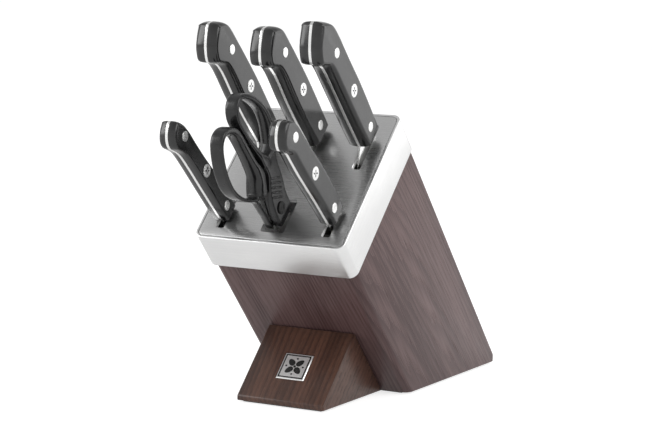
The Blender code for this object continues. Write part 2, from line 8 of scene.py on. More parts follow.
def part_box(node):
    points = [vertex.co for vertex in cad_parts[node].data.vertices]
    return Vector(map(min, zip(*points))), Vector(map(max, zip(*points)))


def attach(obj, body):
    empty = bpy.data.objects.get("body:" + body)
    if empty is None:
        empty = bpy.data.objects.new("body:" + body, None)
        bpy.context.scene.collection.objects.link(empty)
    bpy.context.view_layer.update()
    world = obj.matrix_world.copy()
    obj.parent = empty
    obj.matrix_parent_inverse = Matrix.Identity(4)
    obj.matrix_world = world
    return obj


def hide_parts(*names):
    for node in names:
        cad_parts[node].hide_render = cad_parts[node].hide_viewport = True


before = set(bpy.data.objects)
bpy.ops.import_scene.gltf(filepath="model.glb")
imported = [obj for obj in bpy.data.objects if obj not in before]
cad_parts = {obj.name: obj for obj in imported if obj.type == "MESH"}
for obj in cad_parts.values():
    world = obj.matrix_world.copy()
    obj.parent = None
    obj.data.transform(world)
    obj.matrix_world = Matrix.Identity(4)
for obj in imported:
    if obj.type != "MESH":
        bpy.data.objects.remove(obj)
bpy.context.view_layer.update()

mm = 0.001
lean = math.radians(45)
upPlate = Vector((0, math.cos(lean), math.sin(lean)))  # along the top plate, front to back
outOfSlot = Vector((0, -math.sin(lean), math.cos(lean)))  # the way a knife is drawn

collar = {
    "height": 35,
    "wall": 2.2,
    "corner": 7,
    "topEdge": 0.9,
    "innerEdge": 0.35,
    "bottomEdge": 0.4,
    "cornerSteps": 10,
}
collarLow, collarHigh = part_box("collar")
collarHalf = (collarHigh.x - collarLow.x) / 2 / mm
collarDepth = (collarHigh.z - collarLow.z) / math.sin(lean) / mm - collar["height"]
frontEdge = Vector((0, collarLow.y, collarHigh.z - collarDepth * math.sin(lean) * mm))


def standPoint(x, u, h):  # millimetres to the right, up the plate and out of it
    return frontEdge + Vector((x, 0, 0)) * mm + upPlate * u * mm + outOfSlot * h * mm


def heightInStand(u, z):  # h of the point above u that is z metres over the table
    return ((z - frontEdge.z) / mm - u * math.sin(lean)) / math.cos(lean)


# Outlines

def openCurve(points, perSpan):
    padded = [points[0], *points, points[-1]]
    found = []
    for a, b, c, d in zip(padded, padded[1:], padded[2:], padded[3:]):
        for k in range(perSpan):
            t = k / perSpan
            found.append(tuple(
                0.5 * (2 * b[i] + (c[i] - a[i]) * t + (2 * a[i] - 5 * b[i] + 4 * c[i] - d[i]) * t * t
                       + (3 * b[i] - a[i] - 3 * c[i] + d[i]) * t ** 3)
                for i in range(len(b))
            ))
    return [*found, tuple(points[-1])]


def closedCurve(points, perSpan):
    wrapped = openCurve([points[-1], *points, points[0]], perSpan)
    return wrapped[perSpan:-perSpan - 1] + wrapped[-perSpan - 1:-perSpan]


def roundedRectangle(xHalf, uLow, uHigh, radius, steps=10, rearRadius=None):
    rear = rearRadius or radius
    corners = [
        (xHalf - rear, uHigh - rear, rear),
        (rear - xHalf, uHigh - rear, rear),
        (radius - xHalf, uLow + radius, radius),
        (xHalf - radius, uLow + radius, radius),
    ]
    return [
        (x + r * math.cos(a), u + r * math.sin(a))
        for k, (x, u, r) in enumerate(corners)
        for a in (math.pi / 2 * (k + step / steps) for step in range(steps + 1))
    ]


def circle(radius, steps, centre=(0, 0)):
    return [
        (centre[0] + radius * math.cos(a), centre[1] + radius * math.sin(a))
        for a in (2 * math.pi * k / steps for k in range(steps))
    ]


def leafOutline(leaf, turn):  # one leaf of a rosette, turned about its middle
    found = []
    for t in (2 * math.pi * k / leaf["steps"] for k in range(leaf["steps"])):
        along = leaf["middle"] + leaf["reach"] * math.cos(t)
        aside = leaf["half"] * math.sin(t) * (leaf["full"] - leaf["taper"] * math.cos(t))
        found.append((
            along * math.cos(turn) - aside * math.sin(turn),
            along * math.sin(turn) + aside * math.cos(turn),
        ))
    return found


def signedArea(points):
    return sum(a[0] * b[1] - b[0] * a[1] for a, b in zip(points, points[1:] + points[:1])) / 2


def insetLoop(points, distance):
    turn = 1 if signedArea(points) > 0 else -1
    found = []
    for before, point, after in zip([points[-1], *points], points, [*points[1:], points[0]]):
        before, point, after = Vector(before), Vector(point), Vector(after)
        first = (point - before).normalized()
        second = (after - point).normalized()
        aside = Vector((-first.y - second.y, first.x + second.x)).normalized() * turn
        mitre = max(0.5, aside.dot(Vector((-first.y, first.x)) * turn))
        found.append(tuple(point + aside * distance / mitre))
    return found


# Meshes

def loft(rings, around=False, caps=True):
    bm = bmesh.new()
    rows = [[bm.verts.new(point) for point in ring] for ring in rings]
    pairs = list(zip(rows, rows[1:] + ([rows[0]] if around else [])))
    for low, high in pairs:
        for i in range(len(low)):
            j = (i + 1) % len(low)
            bm.faces.new((low[i], low[j], high[j], high[i]))
    if caps and not around:
        bm.faces.new(rows[0])
        bm.faces.new(rows[-1])
    return bm


def addPrism(bm, low, high):  # a closed prism between two loops of points
    rows = [[bm.verts.new(point) for point in ring] for ring in (low, high)]
    for i in range(len(low)):
        j = (i + 1) % len(low)
        bm.faces.new((rows[0][i], rows[0][j], rows[1][j], rows[1][i]))
    bm.faces.new(rows[0])
    bm.faces.new(rows[1])


def prismOutOfPlate(outline, hLow, hHigh):  # outline of (x, u)
    return loft([[standPoint(x, u, h) for x, u in outline] for h in (hLow, hHigh)])


def turnedAlongX(profile, centre, sides=40):  # profile of (x, radius), from one pole to the other
    rings = []
    for x, radius in profile:
        rings.append([
            centre + Vector((x, radius * math.cos(a), radius * math.sin(a))) * mm
            for a in (2 * math.pi * k / sides for k in range(sides))
        ])
    return loft(rings)


def addPiece(name, bm, material=None, sharp=35):
    bmesh.ops.recalc_face_normals(bm, faces=bm.faces[:])
    mesh = bpy.data.meshes.new(name)
    bm.to_mesh(mesh)
    bm.free()
    piece = bpy.data.objects.new(name, mesh)
    bpy.context.scene.collection.objects.link(piece)
    if material:
        mesh.materials.append(material)
        smooth(piece, sharp)
    return piece


def smooth(piece, sharp=35):
    piece.data.shade_smooth()
    piece.data.set_sharp_from_angle(angle=math.radians(sharp))


def applyModifiers(piece, sharp=35):
    bpy.context.view_layer.update()
    graph = bpy.context.evaluated_depsgraph_get()
    old = piece.data
    piece.data = bpy.data.meshes.new_from_object(piece.evaluated_get(graph))
    piece.data.name = piece.name
    piece.modifiers.clear()
    bpy.data.meshes.remove(old)
    smooth(piece, sharp)


def combine(piece, others, operation, sharp=35, keep=False):
    for other in others:
        modifier = piece.modifiers.new("combine", "BOOLEAN")
        modifier.operation = operation
        modifier.object = other
        modifier.solver = "MANIFOLD"
    applyModifiers(piece, sharp)
    if not keep:
        for other in others:
            bpy.data.objects.remove(other)


def roundEdges(piece, width, segments=3, angle=50, sharp=35):
    modifier = piece.modifiers.new("edges", "BEVEL")
    modifier.width = width * mm
    modifier.segments = segments
    modifier.limit_method = "ANGLE"
    modifier.angle_limit = math.radians(angle)
    applyModifiers(piece, sharp)


# painted shade: faces inside the channels, pockets and mouths get the near-black second material
def paintShadeInside(piece, material, half, front, rear, wallsOnly=False):  # channels, pockets and mouths
    margin = 4 if wallsOnly else 2
    piece.data.materials.append(material)
    for face in piece.data.polygons:
        middle = (face.center - frontEdge) / mm
        inside = abs(middle.x) < half - margin and front + margin < middle.dot(upPlate) < rear - margin
        if wallsOnly and abs(face.normal.dot(outOfSlot)) > 0.5:
            continue
        if inside and face.normal.z > -0.75:
            face.material_index = 1


def mount(piece, body, slotName, *nodes):
    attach(piece, body)
    if nodes:
        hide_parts(*nodes)
    return piece


# Shader groups

def grey(value):
    return (value, value, value, 1)


def newGroup(name, inputs, outputs):
    tree = bpy.data.node_groups.new(name, "ShaderNodeTree")
    for socketName, (kind, value) in inputs.items():
        socket = tree.interface.new_socket(name=socketName, in_out="INPUT", socket_type=kind)
        socket.default_value = value
    for socketName, kind in outputs.items():
        tree.interface.new_socket(name=socketName, in_out="OUTPUT", socket_type=kind)
    return tree, tree.nodes.new("NodeGroupInput"), tree.nodes.new("NodeGroupOutput")


def addNode(tree, kind, values=None, **settings):
    node = tree.nodes.new(kind)
    for key, value in settings.items():
        setattr(node, key, value)
    for key, value in (values or {}).items():
        node.inputs[key].default_value = value
    return node


def leaningCoordinates(tree):  # object coordinates turned to the slots' lean, in millimetres
    place = addNode(tree, "ShaderNodeTexCoord")
    turn = addNode(tree, "ShaderNodeMapping", {"Rotation": (-lean, 0, 0), "Scale": (1000, 1000, 1000)})
    tree.links.new(place.outputs["Object"], turn.inputs["Vector"])
    return turn.outputs["Vector"]


def stretched(tree, vector, stretch, offset=None):
    scale = addNode(tree, "ShaderNodeVectorMath", operation="MULTIPLY")
    tree.links.new(vector, scale.inputs[0])
    if isinstance(stretch, tuple):
        scale.inputs[1].default_value = stretch
    else:
        tree.links.new(stretch, scale.inputs[1])
    if offset is None:
        return scale.outputs["Vector"]
    shift = addNode(tree, "ShaderNodeVectorMath", operation="ADD")
    tree.links.new(scale.outputs["Vector"], shift.inputs[0])
    tree.links.new(offset, shift.inputs[1])
    return shift.outputs["Vector"]


def noiseOf(tree, vector, scale=1, detail=2, roughness=0.5, distortion=0):
    values = {"Scale": scale, "Detail": detail, "Roughness": roughness, "Distortion": distortion}
    noise = addNode(tree, "ShaderNodeTexNoise", values)
    tree.links.new(vector, noise.inputs["Vector"])
    return noise.outputs["Fac"]


def ranged(tree, value, fromLow, fromHigh, toLow=0.0, toHigh=1.0):
    node = addNode(tree, "ShaderNodeMapRange", interpolation_type="SMOOTHSTEP")
    tree.links.new(value, node.inputs["Value"])
    for key, limit in (("From Min", fromLow), ("From Max", fromHigh), ("To Min", toLow), ("To Max", toHigh)):
        if isinstance(limit, (int, float)):
            node.inputs[key].default_value = limit
        else:
            tree.links.new(limit, node.inputs[key])
    return node.outputs["Result"]


def calculate(tree, operation, first, second):
    node = addNode(tree, "ShaderNodeMath", operation=operation)
    for k, value in enumerate((first, second)):
        if isinstance(value, (int, float)):
            node.inputs[k].default_value = value
        else:
            tree.links.new(value, node.inputs[k])
    return node.outputs["Value"]


def mixed(tree, amount, first, second):
    node = addNode(tree, "ShaderNodeMix", data_type="RGBA")
    for key, value in ((0, amount), (6, first), (7, second)):
        if isinstance(value, (int, float, tuple)):
            node.inputs[key].default_value = value
        else:
            tree.links.new(value, node.inputs[key])
    return node.outputs[2]


def woodGrainGroup():
    tree, entry, leave = newGroup("woodGrain", {
        "Dark": ("NodeSocketColor", (0.03, 0.015, 0.012, 1)),
        "Light": ("NodeSocketColor", (0.12, 0.07, 0.055, 1)),
        "Pore": ("NodeSocketColor", (0.015, 0.008, 0.006, 1)),
        "Ring Width": ("NodeSocketFloat", 4.0),
        "Stretch": ("NodeSocketVector", (1, 1, 0.09)),
        "Offset": ("NodeSocketVector", (0, 0, 0)),
        "Roughness": ("NodeSocketFloat", 0.45),
    }, {"Color": "NodeSocketColor", "Roughness": "NodeSocketFloat", "Height": "NodeSocketFloat"})

    def weighted(value, weight, middle=0.5):
        return calculate(tree, "MULTIPLY", calculate(tree, "SUBTRACT", value, middle), weight)

    place = stretched(tree, leaningCoordinates(tree), entry.outputs["Stretch"], entry.outputs["Offset"])
    split = addNode(tree, "ShaderNodeSeparateXYZ")
    tree.links.new(place, split.inputs["Vector"])
    across = calculate(tree, "POWER", calculate(tree, "ABSOLUTE", split.outputs["X"], 0), 2.0)
    deep = calculate(tree, "POWER", calculate(tree, "ABSOLUTE", split.outputs["Y"], 0), 2.0)
    radius = calculate(tree, "SQRT", calculate(tree, "ADD", across, deep), 0)
    bend = calculate(tree, "ADD", weighted(noiseOf(tree, place, 0.022, 2, 0.5), 26), split.outputs["Z"])
    ripple = weighted(noiseOf(tree, place, 0.16, 2, 0.5), 2.4)
    bent = calculate(tree, "ADD", calculate(tree, "ADD", radius, bend), ripple)
    ring = calculate(tree, "FRACT", calculate(tree, "DIVIDE", bent, entry.outputs["Ring Width"]), 0)
    porous = calculate(tree, "SUBTRACT", 1.0, ranged(tree, ring, 0.08, 0.42))
    late = ranged(tree, ring, 0.3, 1.0)
    streak = noiseOf(tree, stretched(tree, place, (0.9, 0.9, 0.25)), 1.0, 3, 0.6)
    dashes = noiseOf(tree, stretched(tree, place, (2.4, 2.4, 0.45)), 1.0, 2, 0.55)
    cloud = noiseOf(tree, place, 0.05, 2, 0.5)
    pore = calculate(tree, "MULTIPLY", ranged(tree, dashes, 0.44, 0.62),
                     calculate(tree, "ADD", calculate(tree, "MULTIPLY", porous, 0.8), 0.2))
    tone = calculate(tree, "ADD", weighted(late, 0.36, 0.35), weighted(streak, 1.0))
    tone = calculate(tree, "ADD", tone, weighted(cloud, 1.5))
    share = ranged(tree, calculate(tree, "ADD", tone, 0.5), 0.0, 1.0)
    plain = mixed(tree, share, entry.outputs["Light"], entry.outputs["Dark"])
    colour = mixed(tree, calculate(tree, "MULTIPLY", pore, 0.5), plain, entry.outputs["Pore"])
    tree.links.new(colour, leave.inputs["Color"])
    rough = calculate(tree, "ADD", entry.outputs["Roughness"], calculate(tree, "MULTIPLY", pore, 0.2))
    tree.links.new(calculate(tree, "ADD", rough, weighted(streak, 0.15)), leave.inputs["Roughness"])
    height = calculate(tree, "SUBTRACT", calculate(tree, "MULTIPLY", streak, 0.35), pore)
    tree.links.new(height, leave.inputs["Height"])
    return tree


def brushedLinesGroup():
    tree, entry, leave = newGroup("brushedLines", {
        "Stretch": ("NodeSocketVector", (0.02, 0.02, 6)),
        "Light": ("NodeSocketColor", grey(0.8)),
        "Dark": ("NodeSocketColor", grey(0.6)),
        "Smooth": ("NodeSocketFloat", 0.25),
        "Rough": ("NodeSocketFloat", 0.4),
    }, {"Color": "NodeSocketColor", "Roughness": "NodeSocketFloat", "Height": "NodeSocketFloat"})
    place = leaningCoordinates(tree)
    lines = noiseOf(tree, stretched(tree, place, entry.outputs["Stretch"]), 1.0, 4, 0.65)
    soft = noiseOf(tree, place, 0.03, 2, 0.5)
    fineShare = calculate(tree, "MULTIPLY", lines, 0.7)
    blend = calculate(tree, "ADD", fineShare, calculate(tree, "MULTIPLY", soft, 0.3))
    share = ranged(tree, blend, 0.3, 0.7)
    tree.links.new(mixed(tree, share, entry.outputs["Light"], entry.outputs["Dark"]), leave.inputs["Color"])
    rough = ranged(tree, blend, 0.3, 0.7, entry.outputs["Smooth"], entry.outputs["Rough"])
    tree.links.new(rough, leave.inputs["Roughness"])
    tree.links.new(lines, leave.inputs["Height"])
    return tree


def mouldedSkinGroup():
    tree, entry, leave = newGroup("mouldedSkin", {
        "Grain": ("NodeSocketFloat", 3.0),
        "Light": ("NodeSocketColor", (0.04, 0.04, 0.042, 1)),
        "Dark": ("NodeSocketColor", (0.02, 0.02, 0.021, 1)),
        "Smooth": ("NodeSocketFloat", 0.35),
        "Rough": ("NodeSocketFloat", 0.5),
    }, {"Color": "NodeSocketColor", "Roughness": "NodeSocketFloat", "Height": "NodeSocketFloat"})
    place = leaningCoordinates(tree)
    grain = addNode(tree, "ShaderNodeTexNoise", {"Detail": 2, "Roughness": 0.6})
    tree.links.new(place, grain.inputs["Vector"])
    tree.links.new(entry.outputs["Grain"], grain.inputs["Scale"])
    handled = noiseOf(tree, place, 0.06, 4, 0.6, 0.4)
    share = ranged(tree, handled, 0.35, 0.7)
    tree.links.new(mixed(tree, share, entry.outputs["Dark"], entry.outputs["Light"]), leave.inputs["Color"])
    rough = ranged(tree, handled, 0.35, 0.7, entry.outputs["Smooth"], entry.outputs["Rough"])
    tree.links.new(rough, leave.inputs["Roughness"])
    tree.links.new(grain.outputs["Fac"], leave.inputs["Height"])
    return tree


# painted highlight: convex edges, found by pointiness, are lightened towards the Edge colour in patches
# broken up by noise
def edgeHighlightGroup():
    tree, entry, leave = newGroup("paintedEdgeHighlight", {
        "Body": ("NodeSocketColor", grey(0.5)),
        "Edge": ("NodeSocketColor", grey(0.8)),
        "Amount": ("NodeSocketFloat", 0.5),
    }, {"Color": "NodeSocketColor", "Mask": "NodeSocketFloat"})
    shape = addNode(tree, "ShaderNodeNewGeometry")
    edge = ranged(tree, shape.outputs["Pointiness"], 0.52, 0.62)
    broken = ranged(tree, noiseOf(tree, leaningCoordinates(tree), 0.25, 3, 0.6), 0.3, 0.65, 0.35, 1.0)
    highlightMask = calculate(tree, "MULTIPLY", calculate(tree, "MULTIPLY", edge, broken), entry.outputs["Amount"])
    tree.links.new(mixed(tree, highlightMask, entry.outputs["Body"], entry.outputs["Edge"]), leave.inputs["Color"])
    tree.links.new(highlightMask, leave.inputs["Mask"])
    return tree


groups = {
    "woodGrain": woodGrainGroup(),
    "brushedLines": brushedLinesGroup(),
    "mouldedSkin": mouldedSkinGroup(),
    "paintedEdgeHighlight": edgeHighlightGroup(),
}


def makeMaterial(name, groupName, groupValues, shaderValues, bump, edge=None):
    material = bpy.data.materials.new(name)
    material.use_nodes = True
    tree = material.node_tree
    shader = tree.nodes["Principled BSDF"]
    for key, value in shaderValues.items():
        shader.inputs[key].default_value = value
    pattern = addNode(tree, "ShaderNodeGroup", node_tree=groups[groupName])
    for key, value in groupValues.items():
        pattern.inputs[key].default_value = value
    colour = pattern.outputs["Color"]
    # edge: colour and amount of the painted highlight on convex edges
    if edge:
        edgeHighlightNode = addNode(tree, "ShaderNodeGroup", node_tree=groups["paintedEdgeHighlight"])
        edgeHighlightNode.inputs["Edge"].default_value = edge[0]
        edgeHighlightNode.inputs["Amount"].default_value = edge[1]
        tree.links.new(colour, edgeHighlightNode.inputs["Body"])
        colour = edgeHighlightNode.outputs["Color"]
    tree.links.new(colour, shader.inputs["Base Color"])
    tree.links.new(pattern.outputs["Roughness"], shader.inputs["Roughness"])
    relief = addNode(tree, "ShaderNodeBump", {"Strength": bump[0], "Distance": bump[1] * mm})
    tree.links.new(pattern.outputs["Height"], relief.inputs["Height"])
    tree.links.new(relief.outputs["Normal"], shader.inputs["Normal"])
    return material


# where a material has a last pair, it is the colour and amount of a painted highlight on its convex edges
materials = {
    "bodyWood": makeMaterial("smokedAshBody", "woodGrain", {
        "Dark": (0.060, 0.028, 0.028, 1), "Light": (0.150, 0.090, 0.088, 1),
        "Pore": (0.026, 0.012, 0.012, 1), "Ring Width": 3.4,
        "Stretch": (1, 1, 0.06), "Offset": (110, 90, 0), "Roughness": 0.40,
    }, {"Coat Weight": 0.10, "Coat Roughness": 0.26, "Specular IOR Level": 0.3}, (0.35, 0.12),
        ((0.26, 0.19, 0.17, 1), 0.35)),
    "footWood": makeMaterial("smokedAshFoot", "woodGrain", {
        "Dark": (0.034, 0.013, 0.008, 1), "Light": (0.098, 0.043, 0.027, 1),
        "Pore": (0.016, 0.006, 0.004, 1), "Ring Width": 4.6,
        "Stretch": (1, 0.07, 1), "Offset": (70, 30, 60), "Roughness": 0.34,
    }, {"Coat Weight": 0.18, "Coat Roughness": 0.2, "Specular IOR Level": 0.36}, (0.35, 0.12),
        ((0.30, 0.21, 0.17, 1), 0.5)),
    # painted shade: near-black wood for the insides of the slots
    "paintedSlotShade": makeMaterial("paintedSlotShade", "woodGrain", {
        "Dark": (0.006, 0.005, 0.005, 1), "Light": (0.012, 0.009, 0.008, 1), "Pore": grey(0.003),
        "Ring Width": 4.2, "Stretch": (1, 1, 0.07), "Offset": (110, 90, 0), "Roughness": 0.7,
    }, {"Specular IOR Level": 0.2}, (0.35, 0.12)),
    "collarSteel": makeMaterial("brushedCollar", "brushedLines", {
        "Stretch": (0.012, 0.012, 5), "Light": (0.84, 0.84, 0.835, 1), "Dark": grey(0.75),
        "Smooth": 0.26, "Rough": 0.4,
    }, {"Metallic": 1.0}, (0.12, 0.02)),
    "plateSteel": makeMaterial("satinPlate", "brushedLines", {
        "Stretch": (0.012, 4, 0.012), "Light": grey(0.66), "Dark": grey(0.57),
        "Smooth": 0.25, "Rough": 0.33,
    }, {"Metallic": 1.0}, (0.03, 0.01)),
    "bladeSteel": makeMaterial("groundBlade", "brushedLines", {
        "Stretch": (0.05, 0.03, 5), "Light": (0.86, 0.86, 0.85, 1), "Dark": (0.78, 0.78, 0.775, 1),
        "Smooth": 0.16, "Rough": 0.3,
    }, {"Metallic": 1.0}, (0.1, 0.015)),
    "rivetSteel": makeMaterial("polishedRivet", "brushedLines", {
        "Stretch": (0.4, 0.4, 0.4), "Light": (0.9, 0.9, 0.89, 1), "Dark": (0.82, 0.82, 0.815, 1),
        "Smooth": 0.18, "Rough": 0.32,
    }, {"Metallic": 1.0}, (0.06, 0.01)),
    "pivotSteel": makeMaterial("blackenedPivot", "brushedLines", {
        "Stretch": (0.4, 0.4, 0.4), "Light": grey(0.045), "Dark": grey(0.025),
        "Smooth": 0.34, "Rough": 0.46,
    }, {"Metallic": 1.0}, (0.06, 0.01)),
    "scalePlastic": makeMaterial("satinScale", "mouldedSkin", {
        "Grain": 3.0, "Light": (0.013, 0.013, 0.0135, 1), "Dark": grey(0.007),
        "Smooth": 0.15, "Rough": 0.24,
    }, {"Specular IOR Level": 0.62}, (0.08, 0.02), (grey(0.07), 0.5)),
    "gripPlastic": makeMaterial("mattGrip", "mouldedSkin", {
        "Grain": 5.0, "Light": (0.016, 0.016, 0.0165, 1), "Dark": (0.009, 0.009, 0.0095, 1),
        "Smooth": 0.2, "Rough": 0.3,
    }, {"Specular IOR Level": 0.5}, (0.12, 0.03), (grey(0.08), 0.4)),
    "inlayEnamel": makeMaterial("blackInlay", "mouldedSkin", {
        "Grain": 4.0, "Light": (0.016, 0.016, 0.017, 1), "Dark": grey(0.010),
        "Smooth": 0.25, "Rough": 0.35,
    }, {"Specular IOR Level": 0.5}, (0.05, 0.01)),
    "carrierPlastic": makeMaterial("carrierPlastic", "mouldedSkin", {
        "Grain": 4.0, "Light": grey(0.024), "Dark": grey(0.014),
        "Smooth": 0.5, "Rough": 0.62,
    }, {"Specular IOR Level": 0.4}, (0.2, 0.04)),
    "ceramic": makeMaterial("honingCeramic", "mouldedSkin", {
        "Grain": 9.0, "Light": (0.82, 0.78, 0.70, 1), "Dark": (0.72, 0.68, 0.60, 1),
        "Smooth": 0.7, "Rough": 0.85,
    }, {"Specular IOR Level": 0.35}, (0.35, 0.03)),
    "rubber": makeMaterial("soleRubber", "mouldedSkin", {
        "Grain": 2.0, "Light": grey(0.034), "Dark": grey(0.022),
        "Smooth": 0.75, "Rough": 0.9,
    }, {"Specular IOR Level": 0.3}, (0.3, 0.05)),
}
print("materials made:", len(materials))


# Collar

def buildCollar():
    def arc(centreD, centreH, radius, start):
        return [
            (centreD + radius * math.cos(a), centreH + radius * math.sin(a))
            for a in (math.radians(start - 90 * k / 5) for k in range(6))
        ]
    top, inner, bottom = collar["topEdge"], collar["innerEdge"], collar["bottomEdge"]
    wall, height = collar["wall"], collar["height"]
    section = [
        *arc(bottom, bottom - height, bottom, 270),
        *arc(top, -top, top, 180),
        *arc(wall - inner, -inner, inner, 90),
        (wall, -height),
    ]
    rings = []
    for d, h in section:
        outline = roundedRectangle(
            collarHalf - d, d, collarDepth - d, collar["corner"] - d, collar["cornerSteps"],
        )
        rings.append([standPoint(x, u, h) for x, u in outline])
    piece = addPiece("collarBand", loft(rings, around=True), materials["collarSteel"])
    return mount(piece, "block", "collar", "collar")


buildCollar()
print("collar built")

# Top plate

plate = {
    "thick": 3,
    "gap": 0.3,
    "edge": 0.45,
    "mouthCorner": 1.6,
    "mouthChamfer": 0.35,
    "knifeSlot": 7,
    "scissorsSlot": 19.4,
    "column": 46,
    "frontRow": (11, 44),
    "backRow": (79.2, 125.2),
}
slots = [
    (plate["column"], plate["knifeSlot"], plate["backRow"]),
    (0, plate["knifeSlot"], plate["backRow"]),
    (-plate["column"], plate["knifeSlot"], plate["backRow"]),
    (plate["column"], plate["knifeSlot"], plate["frontRow"]),
    (-plate["column"], plate["knifeSlot"], plate["frontRow"]),
    (0, plate["scissorsSlot"], plate["frontRow"]),
]


def buildPlate():
    inset = collar["wall"] + plate["gap"]
    thick, edge = plate["thick"], plate["edge"]
    rings = []
    for d, h in [(0, -thick), (0, -edge), (edge * 0.3, -edge * 0.3), (edge, 0)]:
        outline = roundedRectangle(
            collarHalf - inset - d, inset + d, collarDepth - inset - d, collar["corner"] - inset - d,
            collar["cornerSteps"],
        )
        rings.append([standPoint(x, u, h) for x, u in outline])
    piece = addPiece("slottedPlate", loft(rings), materials["plateSteel"])
    cutters = []
    for k, (xMid, width, (uLow, uHigh)) in enumerate(slots):
        chamfer = plate["mouthChamfer"]
        rings = []
        for grow, h in [(0, -2 * thick), (0, -chamfer), (2 * chamfer, chamfer), (2 * chamfer, 2 * thick)]:
            outline = roundedRectangle(
                width / 2 + grow, uLow - grow, uHigh + grow, plate["mouthCorner"] + grow, 6,
            )
            rings.append([standPoint(xMid + x, u, h) for x, u in outline])
        cutters.append(addPiece(f"mouthCutter{k}", loft(rings)))
    combine(piece, cutters, "DIFFERENCE")
    # painted shade on the steel walls of the slot mouths
    paintShadeInside(piece, materials["paintedSlotShade"], collarHalf, 0, collarDepth, wallsOnly=True)
    return mount(piece, "block", "plate", "top_plate")


buildPlate()
print("plate built")

# Wooden body

body = {
    "inset": 2.8,
    "corner": 6,
    "rearCorner": 2,
    "sideEdge": 0.9,
    "soleGap": 1.1,
    "rearCut": 7.6,
    "topGap": 3.3,
    "scissorsRoom": (11, 63),
    "channelCorner": 0.8,
    "pocketHalf": (9.4, 8.4),  # of the room round a honing carrier, across and along
    "pocketCorner": 0.6,
    "pocketBelow": 12.4,
    "cutAbove": 5,
    "slotDepths": [203, 210, 211, 138, 111, 97],
}


def buildBody():
    half = collarHalf - body["inset"]
    front, rear = body["inset"], collarDepth - body["inset"]
    outline = roundedRectangle(half, front, rear, body["corner"], 10, body["rearCorner"])
    base = body["soleGap"] * mm
    bm = loft([
        [standPoint(x, u, heightInStand(u, base)) for x, u in outline],
        [standPoint(x, u, -body["topGap"]) for x, u in outline],
    ])
    corner = standPoint(0, rear, heightInStand(rear, base + body["rearCut"] * mm))
    everything = bm.verts[:] + bm.edges[:] + bm.faces[:]
    found = bmesh.ops.bisect_plane(
        bm, geom=everything, plane_co=corner, plane_no=(0, 1, 0), clear_outer=True,
    )
    rim = [g for g in found["geom_cut"] if isinstance(g, bmesh.types.BMEdge)]
    bmesh.ops.edgenet_fill(bm, edges=rim)
    piece = addPiece("bodyWood", bm, materials["bodyWood"], 40)
    roundEdges(piece, body["sideEdge"], 3, 40, 40)
    cutters = []
    for k, ((xMid, width, (uLow, uHigh)), depth) in enumerate(zip(slots, body["slotDepths"])):
        if width > plate["knifeSlot"]:
            uLow, uHigh = body["scissorsRoom"]
        corners = roundedRectangle(width / 2, uLow, uHigh, body["channelCorner"], 2)
        outline = [(x + xMid, u) for x, u in corners]
        cutters.append(addPiece(f"channelCutter{k}", prismOutOfPlate(outline, -depth, body["cutAbove"])))
    for name in ("chef", "carving", "utility", "paring"):
        low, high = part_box(f"{name}_honing_carrier")
        middle = (low + high) / 2 - frontEdge
        x, u, h = middle.x / mm, middle.dot(upPlate) / mm, middle.dot(outOfSlot) / mm
        halfAcross, halfAlong = body["pocketHalf"]
        corners = roundedRectangle(halfAcross, -halfAlong, halfAlong, body["pocketCorner"], 2)
        outline = [(x + a, u + b) for a, b in corners]
        room = prismOutOfPlate(outline, h - body["pocketBelow"], body["cutAbove"])
        cutters.append(addPiece(f"pocketCutter{name}", room))
    combine(piece, cutters, "DIFFERENCE", 40)
    # painted shade on the walls and floors of the channels and pockets
    paintShadeInside(piece, materials["paintedSlotShade"], half, front, rear)
    boards = ("left_side_board", "left_middle_board", "right_middle_board", "right_side_board")
    return mount(piece, "block", "wood", *boards)


buildBody()
print("body built")

# Foot wedge and its badge

foot = {
    "toeHeight": 5.2,
    "edge": 1.1,
    "badgeUp": 33,
    "badgeDeep": 0.9,
    "badgeGap": 0.3,
}
badge = {
    "half": 12.3,
    "thick": 1.2,
    "bevel": 0.55,
    "lineOut": 11.1,
    "lineIn": 9.9,
    "groove": 0.3,
    "motifProud": 0.12,
    "leaf": {"middle": 5.2, "reach": 3.7, "half": 2.2, "full": 1.15, "taper": 0.25, "steps": 24},
    "leaves": 4,
    "middleDot": 1.1,
    "outerDot": 0.8,
    "outerDotsAt": 7.4,
}
footLow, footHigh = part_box("foot_wedge")
toe = Vector((0, footLow.y, foot["toeHeight"] * mm))


def facePoint(x, up, out):  # millimetres across, up and off the foot's sloping face
    return toe + Vector((x, 0, 0)) * mm + upPlate * up * mm + outOfSlot * out * mm


def squareRing(half, out, radius=0.25):
    corners = roundedRectangle(half, -half, half, radius, 3)
    return [facePoint(x, foot["badgeUp"] + y, out) for x, y in corners]


def buildFoot():
    topY = footLow.y + (footHigh.z - toe.z)
    outline = [
        (footLow.y, footLow.z), (footHigh.y, footLow.z), (topY, footHigh.z), (footLow.y, toe.z),
    ]
    bm = loft([[Vector((x, y, z)) for y, z in outline] for x in (footLow.x, footHigh.x)])
    piece = addPiece("footWood", bm, materials["footWood"], 40)
    roundEdges(piece, foot["edge"], 4, 40, 40)
    reach = badge["half"] + foot["badgeGap"]
    pocket = [squareRing(reach, out, 0.5) for out in (-foot["badgeDeep"], 20)]
    room = addPiece("pocketCutter", loft(pocket))
    combine(piece, [room], "DIFFERENCE", 40)
    mount(piece, "block", "wood", "foot_wedge")


